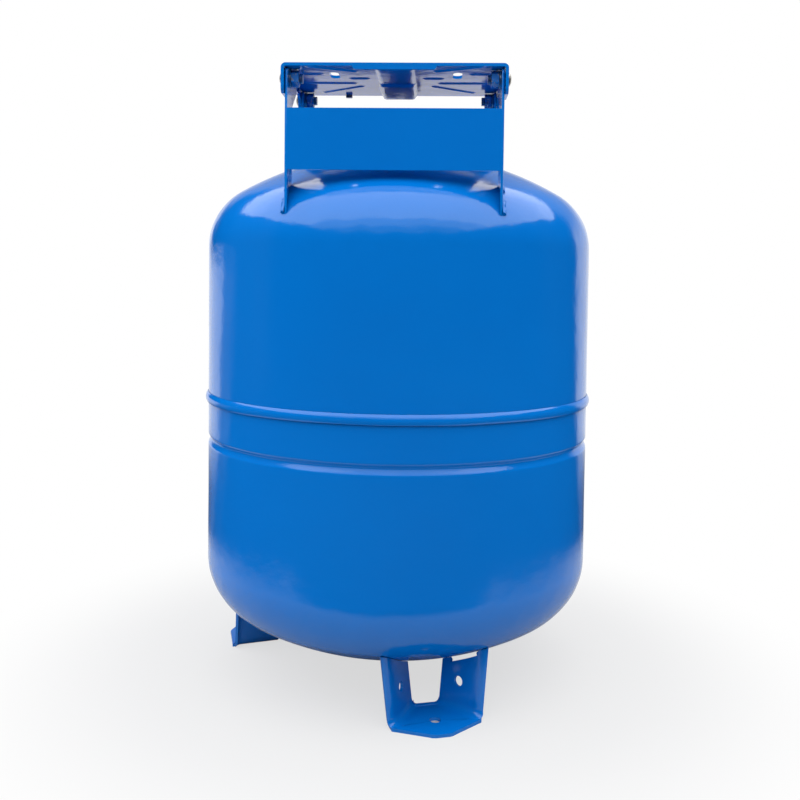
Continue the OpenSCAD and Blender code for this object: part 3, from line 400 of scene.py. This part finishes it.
def makeFoot(name, index, node):
    # mid-surface of a pressed sheet: base ring round the fixing hole, fillet, leaning wall, rolled lip
    columns, lipColumns = 61, 12
    points, normal, share, length = wallPath(columns, lipColumns)
    lean = math.tan(math.radians(foot["flare"]))
    half, r = foot["sheet"] / 2, foot["fillet"] + foot["sheet"] / 2
    rampIn, rampOut = foot["slotRamps"][:2], foot["slotRamps"][2:]

    def along(s, table):
        return np.interp(s, share, table)

    def wallTop(s, slot):
        # the wall ends on the head, with a shallow slot left between them over its middle part
        x, y = along(s, points[:, 0]), along(s, points[:, 1])
        nx, ny = normal[0]
        z = underHead(np.hypot(x, y)) - foot["headGap"]
        for _ in range(4):
            z = underHead(np.hypot(x + lean * z * nx, y + lean * z * ny)) - foot["headGap"]
        return z - softStep(s, *rampIn) * (1 - softStep(s, *rampOut)) * slot

    def tucked(s, z):
        # the lip's lower corner is rounded: near the floor its end draws back along the bend
        pull = foot["tuck"] * np.clip(1 - z / foot["cornerR"], 0, 1) ** 2
        return np.where(s > 1, 1 + (s - 1) * (1 - pull), s)

    # v numbers the rows: below 0 a quarter turn of fillet, to plainSpan the height in mm over the fillet, and
    # above it rows that are stretched to the head
    filletRows, stretch = 7, 30
    plainSpan = foot["plainTop"] - half - r
    rowValue = np.concatenate([np.arange(filletRows + 1.0) - filletRows, np.linspace(0, plainSpan, 20)[1:],
                               plainSpan + np.linspace(0, stretch, 10)[1:]])
    centre = (length * 0.5, foot["sideHoleZ"] - half - r)
    us = share * length
    reach = foot["sideHoleR"] * 1.5
    block = (np.searchsorted(us, centre[0] - reach), np.searchsorted(us, centre[0] + reach),
             np.searchsorted(rowValue, centre[1] - reach), np.searchsorted(rowValue, centre[1] + reach))
    uv, faces = sheetWithHoles(us, rowValue, [{"block": block, "centre": centre, "rings": 4,
                                               "outline": circleOutline(foot["sideHoleR"])}])
    s, v = uv[:, 0] / length, uv[:, 1]
    turn = np.clip((v + filletRows) / filletRows, 0, 1) * math.pi / 2
    walls = []
    for slot in foot["slots"]:
        top = wallTop(s, slot)
        upper = foot["plainTop"] + (v - plainSpan) / stretch * (top - foot["plainTop"])
        z = np.where(v > 0, np.where(v <= plainSpan, half + r + v, upper), half + r - r * np.cos(turn))
        # the whole wall leans along its flat part's normal, the lip too; the fillet bends along each place's own
        at = tucked(s, z)
        out, bent = lean * z, r * (1 - softStep(at, 1.0, foot["filletEnd"])) * (1 - np.sin(turn))
        x, y = (along(at, points[:, i]) + out * normal[0, i] - bent * along(at, normal[:, i]) for i in (0, 1))
        walls.append(np.stack([x, y, z], -1))

    # base: rings of quads from the fixing hole to the outline
    at = tucked(share, half)
    bent = r * (1 - softStep(at, 1.0, foot["filletEnd"]))
    low = np.stack([along(at, points[:, i]) - bent * along(at, normal[:, i]) for i in (0, 1)], -1)
    low = low + lean * half * normal[0]
    tip = low[-1] + np.array([[1.4, 0.0], [2.6, -1.2], [3.6, -3.4]])
    edge = np.array([[foot["tip"] - 2.6, foot["tipHalf"] + 1.8], [foot["tip"] - 1.0, foot["tipHalf"] - 0.6],
                     [foot["tip"], foot["tipHalf"] - 4.0]])
    side = tip[-1] + (edge[0] - tip[-1]) * np.linspace(0, 1, 12)[1:-1, None]
    halfLoop = np.concatenate([low, tip, side, edge, [[foot["tip"], 0.0]]])
    back = np.array([[low[0, 0], 0.0]])
    loop = np.concatenate([back, halfLoop, halfLoop[-2::-1] * [1, -1]])
    middle = np.array([foot["holeAt"], 0.0])
    angle = np.arctan2(loop[:, 1], loop[:, 0] - middle[0])
    hole = middle + foot["holeR"] * np.stack([np.cos(angle), np.sin(angle)], -1)
    steps = np.linspace(0, 1, 9)
    rings = hole[None] + (loop - hole)[None] * steps[:, None, None]
    rings = rings.reshape(-1, 2)
    base = np.column_stack([rings, np.full(len(rings), half)])
    baseFaces = gridFaces(len(steps), len(loop), closeCols=True, flip=True)

    # sill between the back ends of the walls
    across = np.sin(np.linspace(-1, 1, 41) * math.pi / 2)
    sillTurn = np.linspace(0, math.pi / 2, 5)
    small = foot["sillR"]
    rise = np.concatenate([half + small * (1 - np.cos(sillTurn)), [foot["sill"]]])
    inset = np.concatenate([small * (1 - np.sin(sillTurn)), [0]])
    a, k = np.meshgrid(across, np.arange(6), indexing="ij")
    # the window's corners are quarter circles: rise = r - sqrt(r^2 - d^2) over the last r mm before each wall
    cornerR = foot["windowR"]
    into = np.clip(np.abs(a) * foot["backHalf"] - (foot["backHalf"] - cornerR), 0, cornerR)
    lift = (cornerR - np.sqrt(cornerR ** 2 - into ** 2)) * (k >= 5)
    climb = np.clip(k / 4, 0, 1)  # 0 at the base, 1 where the sill stands upright
    width = np.abs(low[0, 1]) + (foot["backHalf"] - np.abs(low[0, 1])) * climb
    forward = (low[0, 0] - foot["back"] - half - small) * (1 - climb)
    sill = np.stack([foot["back"] + half + inset[k] + forward, a * width, rise[k] + lift], -1).reshape(-1, 3)
    sillFaces = gridFaces(*a.shape)

    mirror = np.array([1, -1, 1])
    pieces = [(walls[0], np.asarray(faces)), (walls[1] * mirror, np.asarray(faces)[:, ::-1]), (base, baseFaces),
              (sill, sillFaces)]
    starts = np.cumsum([0] + [len(p) for p, _ in pieces])[:-1]
    allFaces = np.concatenate([f + n for (_, f), n in zip(pieces, starts)])
    piece = newPiece(name, footFrame(np.concatenate([p for p, _ in pieces]), index), allFaces.tolist(),
                     replaces=[node], smoothAngle=50)
    weld(piece, 0.02)
    addThickness(piece, foot["sheet"])
    addBevel(piece, foot["edgeR"], angle=40)


class Mat:
    # the node tree of a material or world; make() adds any node from its type, settings and socket values
    def __init__(self, owner, output="ShaderNodeOutputMaterial", coordinates="Object"):
        owner.use_nodes = True
        self.owner, self.tree = owner, owner.node_tree
        self.tree.nodes.clear()
        self.output = self.tree.nodes.new(output)
        self.place = Socket(self, self.make("ShaderNodeTexCoord", {}, {}).outputs[coordinates])

    def make(self, kind, settings, inputs):
        node = self.tree.nodes.new(kind)
        for key, value in settings.items():
            setattr(node, key, value)
        for key, value in inputs.items():
            if isinstance(value, Socket):
                self.tree.links.new(value.out, node.inputs[key])
            else:
                node.inputs[key].default_value = value
        return node

    def noise(self, scale, detail=2.0, rough=0.5):
        node = self.make("ShaderNodeTexNoise", {}, {"Vector": self.place, "Scale": scale, "Detail": detail,
                                                    "Roughness": rough})
        return Socket(self, node.outputs["Fac"])

    def cells(self, scale):
        # distance to the nearest cell centre
        node = self.make("ShaderNodeTexVoronoi", {}, {"Vector": self.place, "Scale": scale})
        return Socket(self, node.outputs["Distance"])

    def ramp(self, value, low, high):
        node = self.make("ShaderNodeMapRange", {"interpolation_type": "SMOOTHSTEP"},
                         {"Value": value, "From Min": low, "From Max": high})
        return Socket(self, node.outputs["Result"])

    def blend(self, share, first, second):
        node = self.make("ShaderNodeMix", {"data_type": "RGBA"}, {})
        for key, value in (("Factor_Float", share), ("A_Color", first), ("B_Color", second)):
            socket = next(s for s in node.inputs if s.identifier == key)
            if isinstance(value, Socket):
                self.tree.links.new(value.out, socket)
            else:
                socket.default_value = value if key == "Factor_Float" else (*value, 1)
        return Socket(self, next(s for s in node.outputs if s.identifier == "Result_Color"))

    def axes(self):
        node = self.make("ShaderNodeSeparateXYZ", {}, {"Vector": self.place})
        return [Socket(self, node.outputs[i]) for i in range(3)]

    def rays(self):
        # seen is 1 for camera rays and rays through glass, the second value 1 for reflections
        path = self.make("ShaderNodeLightPath", {}, {})
        seen = Socket(self, path.outputs["Is Camera Ray"]) + Socket(self, path.outputs["Is Transmission Ray"])
        return seen, Socket(self, path.outputs["Is Glossy Ray"])

    def bump(self, height):
        # height in metres
        node = self.make("ShaderNodeBump", {}, {"Height": height, "Distance": 1.0, "Strength": 1.0})
        return Socket(self, node.outputs["Normal"])

    def surface(self, node):
        self.tree.links.new(node.outputs[0], self.output.inputs["Surface"])
        return self.owner

    def shader(self, **values):
        inputs = {key.replace("_", " "): ((*value, 1) if isinstance(value, tuple) and len(value) == 3 else value)
                  for key, value in values.items()}
        return self.surface(self.make("ShaderNodeBsdfPrincipled", {}, inputs))


class Socket:
    # an output socket on which sums and products add Math nodes
    def __init__(self, mat, out):
        self.mat, self.out = mat, out

    def math(self, kind, *others):
        node = self.mat.make("ShaderNodeMath", {"operation": kind},
                             {i: value for i, value in enumerate(others)})
        return Socket(self.mat, node.outputs[0])

    def __add__(self, b): return self.math("ADD", self, b)
    def __radd__(self, b): return self.math("ADD", b, self)
    def __sub__(self, b): return self.math("SUBTRACT", self, b)
    def __rsub__(self, b): return self.math("SUBTRACT", b, self)
    def __mul__(self, b): return self.math("MULTIPLY", self, b)
    def __rmul__(self, b): return self.math("MULTIPLY", b, self)
    def __gt__(self, b): return self.math("GREATER_THAN", self, b)
    def __lt__(self, b): return self.math("LESS_THAN", self, b)


def newMaterial(name, color):
    material = bpy.data.materials.new(name)
    material.diffuse_color = (*color, 1)
    return Mat(material)


bluePaintLook = {"color": (0.0003, 0.150, 0.545), "deep": (0.0003, 0.136, 0.510), "rough": 0.09}


def paintMaterial(name):
    m = newMaterial(name, bluePaintLook["color"])
    cloud = m.ramp(m.noise(6, 3), 0.35, 0.7)
    color = m.blend(cloud * 0.5, bluePaintLook["color"], bluePaintLook["deep"])
    fine = m.noise(420, 2, 0.5)
    slow = m.noise(60, 2, 0.4)
    dust = m.ramp(m.cells(900), 0.09, 0.05) * m.ramp(m.noise(120, 2), 0.58, 0.66)
    rough = bluePaintLook["rough"] + 0.05 * m.noise(9, 4) + 0.05 * dust
    height = fine * 0.00006 + slow * 0.0003
    return m.shader(Base_Color=color, Roughness=rough, Normal=m.bump(height))


# in metres
thread = {"depth": 0.00022, "boltPitch": 0.00125, "boltEnd": 0.0885, "outletPitch": 0.0014, "outletStart": 0.0146}


def threadHeight(along, pitch, mask):
    # thread rings: a sine wave along the axis, kept where the mask is 1
    turns = along * (2 * math.pi / pitch)
    return turns.math("SINE", turns) * thread["depth"] * mask


def boltThreads(m):
    x = m.axes()[0]
    return threadHeight(x, thread["boltPitch"], x.math("ABSOLUTE", x) < thread["boltEnd"])


def outletThreads(m):
    y = m.axes()[1]
    return threadHeight(y, thread["outletPitch"], y > thread["outletStart"])


def metalMaterial(name, color, dull, rough, threads=None):
    m = newMaterial(name, color)
    stain = m.ramp(m.noise(140, 4, 0.6), 0.45, 0.75)
    speck = m.noise(900, 3, 0.6)
    height = speck * 0.00003
    if threads:
        height = height + threads(m)
    return m.shader(Base_Color=m.blend(stain * 0.7, color, dull), Metallic=1.0,
                    Roughness=rough + 0.15 * stain + 0.08 * speck, Normal=m.bump(height))


def weldMaterial(name):
    # painted weld bead: rounded lumps a few mm long under the same paint
    m = newMaterial(name, bluePaintLook["color"])
    lumps = m.cells(260)
    spatter = m.ramp(m.noise(500, 2), 0.55, 0.75)
    height = (1 - lumps) * 0.0009 + m.noise(180, 3) * 0.0008 + spatter * 0.0002
    color = m.blend(m.ramp(m.noise(90, 3), 0.4, 0.7) * 0.5, bluePaintLook["color"], bluePaintLook["deep"])
    return m.shader(Base_Color=color, Roughness=bluePaintLook["rough"] + 0.12 * m.noise(60, 3),
                    Normal=m.bump(height))


def paintedZincMaterial(name):
    # zinc-plated nut with most of the paint left on it
    m = newMaterial(name, bluePaintLook["color"])
    bare = m.ramp(m.noise(230, 3, 0.6), 0.52, 0.60)
    return m.shader(Base_Color=m.blend(bare, bluePaintLook["color"], (0.70, 0.69, 0.66)), Metallic=bare,
                    Roughness=0.24 + 0.12 * m.noise(400, 2), Normal=m.bump(m.noise(900, 3) * 0.00003))


def plasticMaterial(name, color, rough):
    m = newMaterial(name, color)
    grain = m.noise(1200, 3, 0.6)
    return m.shader(Base_Color=m.blend(grain * 0.4, color, tuple(c * 1.6 for c in color)),
                    Roughness=rough + 0.1 * grain, Normal=m.bump(grain * 0.00005))


paint = paintMaterial("bluePaint")
zinc = metalMaterial("zincPlate", (0.70, 0.69, 0.64), (0.50, 0.46, 0.36), 0.26)
threadedZinc = metalMaterial("threadedZinc", (0.78, 0.77, 0.73), (0.56, 0.52, 0.43), 0.36, threads=boltThreads)
weldPaint = weldMaterial("weldPaint")
paintedZinc = paintedZincMaterial("paintedZinc")
brassLook = ((0.80, 0.58, 0.26), (0.52, 0.36, 0.16), 0.24)
threadedBrass = metalMaterial("threadedBrass", *brassLook, threads=outletThreads)
brass = metalMaterial("turnedBrass", *brassLook)
rubber = plasticMaterial("blackRubber", (0.02, 0.02, 0.021), 0.6)
blackPaint = plasticMaterial("blackEnamel", (0.02, 0.02, 0.022), 0.32)
bareSteel = metalMaterial("bareSteel", (0.66, 0.42, 0.35), (0.40, 0.22, 0.17), 0.55)
floatPlastic = plasticMaterial("floatPlastic", (0.04, 0.04, 0.042), 0.45)
slotMaterial = {
    "blue_paint": paint, "zinc_plate": zinc, "brass": brass, "rubber": rubber, "black_paint": blackPaint,
    "bare_steel": bareSteel, "float_plastic": floatPlastic,
}

makeFoot("footFront", 0, "foot_front")
makeFoot("footRight", 1, "foot_right")
makeFoot("footLeft", 2, "foot_left")
print("feet done")

platform = {
    "halfWidth": 95.75, "sheet": 2.6, "bend": 4.0, "top": topPole + 55.0, "front": -163.0, "back": -33.0,
    "earDrop": 25.0, "midDrop": 9.0, "ears": (-129.0, -59.0), "archR": 8.0, "earCorner": 5.0,
    "channelHalf": 16.0, "pocketDepth": 1.8, "channelDepth": 3.5, "channelStart": -156.0, "channelStep": -94.0,
    "slotX": 54.0, "slotY": -124.0, "slotHalf": 4.0, "slotHalfLength": 12.0, "ribHalf": 2.0, "ribDepth": 1.0,
    "lipHalf": 35.5, "lipDrop": 3.0, "lipEndR": 2.0, "lipOverlap": 0.6,
    "boltY": (-146.0, -46.0), "boltDrop": 10.4, "boltHole": 4.5, "slotMargin": 3.0, "boltBlock": 6.2,
    # start and end of each rib on the right half: x, y, x, y
    "ribs": ((72, -158, 36, -141), (80, -92, 40, -92), (70, -50, 34, -78), (27, -112, 39, -112),
             (67, -130, 82, -130)),
}


def pressedDepth(x, y):
    # how far the sheet is pressed down: a soft-sided channel in two depths, and round-ended ribs
    p = platform
    across = 1 - softStep(np.abs(x), p["channelHalf"] - 2.4, p["channelHalf"] + 0.4)
    pocket = p["pocketDepth"] * softStep(y, p["channelStart"] - 1.5, p["channelStart"] + 2.5)
    channel = (p["channelDepth"] - p["pocketDepth"]) * softStep(y, p["channelStep"] - 2, p["channelStep"] + 3)
    depth = across * (pocket + channel)
    for x0, y0, x1, y1 in p["ribs"]:
        run = np.array([x1 - x0, y1 - y0], float)
        t = np.clip(((np.abs(x) - x0) * run[0] + (y - y0) * run[1]) / (run @ run), 0, 1)
        away = np.hypot(np.abs(x) - x0 - t * run[0], y - y0 - t * run[1])
        depth = np.maximum(depth, p["ribDepth"] * (1 - softStep(away, 0.5, p["ribHalf"] + 1.4)))
    return depth


def earDepth(y):
    # depth of the flange's lower edge under the top: two ears with round corners, and an arch between them
    p = platform
    front, rear = p["ears"]
    inEar = (y <= front) | (y >= rear)
    edge = np.min(np.abs(y[:, None] - np.array([p["front"], front, rear, p["back"]])), axis=1)
    c = np.clip(p["earCorner"] - edge, 0, None)
    ear = p["earDrop"] - (p["earCorner"] - np.sqrt(np.maximum(p["earCorner"] ** 2 - c ** 2, 0)))
    a = np.clip(p["archR"] - edge, 0, None)
    arch = p["midDrop"] + p["archR"] - np.sqrt(np.maximum(p["archR"] ** 2 - a ** 2, 0))
    return np.where(inEar, ear, arch)


def makePlatform():
    # the sheet's middle surface: u runs across the top, round each bend and down the flanges, v from front to back
    p = platform
    half = p["sheet"] / 2
    r = p["bend"] - half
    flat = p["halfWidth"] - p["bend"]
    bendLength = r * math.pi / 2
    flange = p["earDrop"] - p["bend"]
    ends = [p["front"], *p["ears"], p["back"]]
    near = np.linspace(0, 1, 9) ** 2 * 6  # closer rows beside each end and ear
    v = np.concatenate([np.linspace(p["front"], p["back"], 118), *[e + near for e in ends[:3]],
                        *[e - near for e in ends[1:]], [p["ears"][0] + 0.02, p["ears"][1] - 0.02]])
    v = np.unique(np.round(v[(v >= p["front"]) & (v <= p["back"])], 3))
    v = v[np.concatenate([[True], np.diff(v) > 0.015])]
    side = np.concatenate([np.linspace(0, flat, 66), flat + np.linspace(0, bendLength, 8)[1:],
                           flat + bendLength + np.linspace(0, flange, 18)[1:]])
    u = np.concatenate([-side[:0:-1], side])

    def block(cu, cv, ru, rv):
        return (np.searchsorted(u, cu - ru), np.searchsorted(u, cu + ru),
                np.searchsorted(v, cv - rv), np.searchsorted(v, cv + rv))
    holes, margin, bolt = [], p["slotMargin"], p["boltBlock"]
    for s in (-1, 1):
        holes.append({"block": block(s * p["slotX"], p["slotY"], p["slotHalf"] + margin,
                                     p["slotHalfLength"] + margin),
                      "centre": (s * p["slotX"], p["slotY"]), "rings": 4,
                      "outline": stadiumOutline(p["slotHalf"], p["slotHalfLength"])})
        boltU = s * (flat + bendLength + p["boltDrop"] - p["bend"])
        for y in p["boltY"]:
            holes.append({"block": block(boltU, y, bolt, bolt), "centre": (boltU, y), "rings": 3,
                          "outline": circleOutline(p["boltHole"])})
    uv, faces = sheetWithHoles(u, v, holes)
    a, y = np.abs(uv[:, 0]), uv[:, 1]
    turn = np.clip((a - flat) / r, 0, math.pi / 2)
    down = np.clip((a - flat - bendLength) / flange, 0, 1) * (earDepth(y) - p["bend"])
    x = np.sign(uv[:, 0]) * (np.minimum(a, flat) + r * np.sin(turn))
    z = p["top"] - half - r * (1 - np.cos(turn)) - down
    z = z - np.where(a < flat - 1, pressedDepth(uv[:, 0], y), 0)
    piece = newPiece("platformSheet", np.stack([x, y, z], -1), faces.tolist(), replaces=["platform"], smoothAngle=40)
    weld(piece, 0.004)
    addThickness(piece, p["sheet"])
    addBevel(piece, 0.45, angle=50)

    # the short lip under the front edge: a strip bent down from the sheet, with round ends
    across = np.linspace(-1, 1, 49)
    endR = p["lipEndR"]
    into = np.clip(np.abs(across) * p["lipHalf"] - (p["lipHalf"] - endR), 0, endR)
    depth = p["lipDrop"] - (endR - np.sqrt(endR ** 2 - into ** 2))
    x, k = np.meshgrid(across * p["lipHalf"], np.linspace(0, 1, 6), indexing="ij")
    z = p["top"] - half - p["lipOverlap"] - k * (depth[:, None] + half - p["lipOverlap"])
    points = np.stack([x, np.full_like(x, p["front"] + half), z], -1).reshape(-1, 3)
    lip = newPiece("platformLip", points, gridFaces(*x.shape).tolist(), smoothAngle=40)
    weld(lip, 0.004)
    addThickness(lip, p["sheet"] - 0.1)
    addBevel(lip, 0.4, angle=50)


makePlatform()
print("platform done")

nodeSlot = {s["node"]: s["material_slot"] for s in frame["record"]["subparts"]}
nodeBody = {n: body for body, names in frame["record"]["behaviour"]["bodies"].items() for n in names}

# edge rounding in mm of the pieces that keep the CAD's shape
rounding = {
    "front_bracket": 0.5, "rear_bracket": 0.5, "bracket_welds": 0.4, "foot_welds": 0.4, "rear_tab": 0.3,
    "front_bolts": 0.25, "rear_bolts": 0.25, "front_washers": 0.25, "rear_washers": 0.25,
    "front_nuts": 0.45, "rear_nuts": 0.45, "valve_body": 0.3, "valve_bonnet": 0.4, "handwheel": 0.7,
    "handwheel_screw": 0.25, "relief_cap": 0.25, "bleed_screw": 0.25,
}


def roundedCopy(node, width):
    # a merged copy of the CAD mesh, its flat faces joined and its edges rounded
    mesh = nodes[node].data.copy()
    mesh.materials.clear()
    work = bmesh.new()
    work.from_mesh(mesh)
    bmesh.ops.remove_doubles(work, verts=work.verts, dist=0.002 * mm)
    bmesh.ops.dissolve_limit(work, angle_limit=math.radians(0.3), verts=work.verts, edges=work.edges)
    work.to_mesh(mesh)
    work.free()
    mesh.polygons.foreach_set("use_smooth", np.ones(len(mesh.polygons), bool))
    mesh.set_sharp_from_angle(angle=math.radians(30))
    first, *rest = node.split("_")
    piece = bpy.data.objects.new(first + "".join(w.capitalize() for w in rest), mesh)
    bpy.context.scene.collection.objects.link(piece)
    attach(piece, nodeBody[node])
    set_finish(piece, nodeSlot[node])
    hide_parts(node)
    addBevel(piece, width).modifiers["edges"].use_clamp_overlap = True
    return piece


for node, width in rounding.items():
    roundedCopy(node, width)

# the relief spring, which shortens from below as the poppet lifts with its upper end under the cap, gets a rounded
# copy with a mesh of its own
spring = roundedCopy("relief_spring", 0.05)
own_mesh(spring)
print("rounded pieces done")

for name, node in nodes.items():
    node.data.materials.clear()
    node.data.materials.append(slotMaterial[nodeSlot[name]])
for piece in bpy.context.scene.objects:
    if piece.type == "MESH" and piece.name not in nodes and not piece.data.materials:
        piece.data.materials.append(slotMaterial[piece["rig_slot"]])
pieceMaterial = {
    "frontBolts": threadedZinc, "rearBolts": threadedZinc, "valveBody": threadedBrass,
    "frontNuts": paintedZinc, "rearNuts": paintedZinc,
    "footWelds": weldPaint, "bracketWelds": weldPaint, "bossWeld": weldPaint,
}
for name, material in pieceMaterial.items():
    bpy.data.objects[name].data.materials[0] = material
print("materials done")


# fitted to the photo: distances in m, pitch and roll in radians, turn in degrees, and the lens from a focal length
# of 930.3 pixels on a picture 800 wide with a 36 mm sensor
camera = {"distance": 0.950, "height": 0.3882, "turn": 2.0, "pitch": 0.0424, "roll": 0.0115,
          "lens": 930.3 / 800 * 36, "shift": (0.0021, -0.1036)}


def makeCamera():
    data = bpy.data.cameras.new("camera")
    data.sensor_width, data.lens = 36, camera["lens"]
    data.shift_x, data.shift_y = camera["shift"]
    data.clip_start, data.clip_end = 0.05, 50
    cam = bpy.data.objects.new("camera", data)
    turn = math.radians(camera["turn"])
    cam.location = (camera["distance"] * math.sin(turn), -camera["distance"] * math.cos(turn), camera["height"])
    cam.rotation_mode = "QUATERNION"
    cam.rotation_quaternion = (Quaternion((0, 0, 1), turn) @ Quaternion((1, 0, 0), math.pi / 2 - camera["pitch"])
                               @ Quaternion((0, 0, 1), camera["roll"]))
    bpy.context.scene.collection.objects.link(cam)
    bpy.context.scene.camera = cam


def areaLamp(name, place, target, size, radiance, mirrored):
    # an area lamp's power from the brightness that its face shows: W = radiance * pi * area
    data = bpy.data.lights.new(name, "AREA")
    data.shape, data.size, data.size_y = "RECTANGLE", size[0], size[1]
    data.energy = radiance * math.pi * size[0] * size[1]
    lamp = bpy.data.objects.new(name, data)
    lamp.location = place
    lamp.rotation_mode = "QUATERNION"
    lamp.rotation_quaternion = (Vector(target) - Vector(place)).to_track_quat("-Z", "Y")
    lamp.visible_camera, lamp.visible_glossy = False, mirrored
    bpy.context.scene.collection.objects.link(lamp)


# the white that reflections see: ramps in radians from straight behind the object, right positive, and in height
backdrop = {
    "right": (0.80, 0.92), "left": (-1.02, -0.95), "leftFar": (-1.28, -1.20), "leftShare": 0.8, "farShare": 0.2,
    "leftUpper": (-0.62, -0.48), "eyeLevel": (0.0, 0.04), "upper": (0.08, 0.36), "upperFade": 0.62,
    "dark": 0.005, "scattered": 0.24,
}


def whiteBehind(m, x, y, z=None):
    # reflections see the white backdrop behind the object; its left part fades in two steps and ends at eye level
    b = backdrop
    side = x.math("ARCTAN2", x, y)
    left = m.ramp(side, *b["left"]) * b["leftShare"] + m.ramp(side, *b["leftFar"]) * b["farShare"]
    white = (1 - m.ramp(side, *b["right"])) * left
    if z:
        upperLeft = m.ramp(z, *b["eyeLevel"]) * (1 - m.ramp(side, *b["leftUpper"]))
        white = white * (1 - upperLeft) * (1 - m.ramp(z, *b["upper"]) * b["upperFade"])
    return white


def makeWorld():
    world = bpy.data.worlds.new("studio")
    bpy.context.scene.world = world
    m = Mat(world, "ShaderNodeOutputWorld", "Generated")
    seen, glossy = m.rays()
    dark = backdrop["dark"]
    mirrored = whiteBehind(m, *m.axes()) * (1 - dark) + dark
    value = seen + (1 - seen) * (glossy * mirrored + (1 - glossy) * backdrop["scattered"])
    world.cycles.sampling_method = "NONE"  # lamps light the object; the world is met only by rays that miss
    m.surface(m.make("ShaderNodeBackground", {}, {"Color": (1, 1, 1, 1), "Strength": value}))


# in m; the ramps run over the distance from the axis, except front (over y) and hole (over squared distance), which
# places a disc of painted shade under the front foot's hole
floorLook = {
    "half": 6, "shade": (0.42, 0.42, 0.42, 1), "lightened": 0.66, "far": (0.24, 0.46), "sweep": (0.75, 1.7),
    "nearWhite": 0.12, "whiteGain": 0.86, "least": 0.01, "ring": (0.46, 0.62), "front": (-0.40, -0.31),
    "hole": (0.00004, 0.00008),
}


def makeFloor():
    mesh = bpy.data.meshes.new("floor")
    f, half = floorLook, floorLook["half"]
    mesh.from_pydata([(-half, -half, 0), (half, -half, 0), (half, half, 0), (-half, half, 0)], [], [(0, 1, 2, 3)])
    floor = bpy.data.objects.new("floor", mesh)
    bpy.context.scene.collection.objects.link(floor)
    m = newMaterial("paleFloor", (0.8, 0.8, 0.8))
    x, y, _ = m.axes()
    squared = x * x + y * y
    distance = squared.math("SQRT", squared)
    seen, glossy = m.rays()
    plain = m.make("ShaderNodeBsdfDiffuse", {}, {"Color": f["shade"]})
    far = m.ramp(distance, *f["far"])
    # reflections: the lit floor near the object, a dim ring, then the white sweep far behind it
    sweep = (m.ramp(distance, *f["sweep"]) * f["whiteGain"] + f["nearWhite"]) * whiteBehind(m, x, y) + f["least"]
    white = m.make("ShaderNodeEmission", {}, {"Color": (1, 1, 1, 1), "Strength": seen + (1 - seen) * sweep})
    ring = distance.math("MAXIMUM", m.ramp(distance, *f["ring"]), 1 - m.ramp(y, *f["front"]))
    holeX, holeY, _ = footFrame([[foot["holeAt"], 0, 0]], 0)[0] * mm
    away = (x - holeX) * (x - holeX) + (y - holeY) * (y - holeY)
    clear = m.ramp(away, *f["hole"])  # painted shade: in a disc right under the front foot's hole the floor gets no white lift, so its own rendered shading shows darker there
    # camera rays see the floor's shadow lightened, but not in the painted-shade disc under the front foot's hole,
    # and not at all from the end of the far ramp on
    lighten = (f["lightened"] + (1 - f["lightened"]) * far) * clear
    mix = m.make("ShaderNodeMixShader", {}, {0: seen * lighten + glossy * ring})
    m.tree.links.new(plain.outputs[0], mix.inputs[1])
    m.tree.links.new(white.outputs[0], mix.inputs[2])
    mesh.materials.append(m.surface(mix))


# place and target in m, size of the face in m, brightness of the face, and whether reflections show it; the last
# three are broad soft lamps that only light the paint
lamps = {
    "overhead": ((0, -0.2, 2.1), (0, -0.2, 0), (6.0, 3.6), 2.55, True),
    "overheadFront": ((0, -2.6, 2.1), (0, -2.6, 0), (6.0, 1.2), 1.25, True),
    "overheadEdge": ((0, -4.2, 2.1), (0, -4.2, 0), (6.0, 2.0), 0.40, True),
    "front": ((-0.3, -2.3, 1.7), (0, 0, 0.25), (2.0, 1.2), 0.85, False),
    "left": ((-2.2, 0.15, 0.9), (0, 0, 0.35), (1.6, 1.8), 1.9, False),
    "right": ((2.2, 0.7, 0.9), (0, 0, 0.35), (1.4, 1.6), 1.1, False),
}

makeCamera()
makeWorld()
makeFloor()
for name, lamp in lamps.items():
    areaLamp(name, *lamp)
view = bpy.context.scene.view_settings
view.view_transform = "Standard"
print("studio done")

bpy.context.view_layer.update()
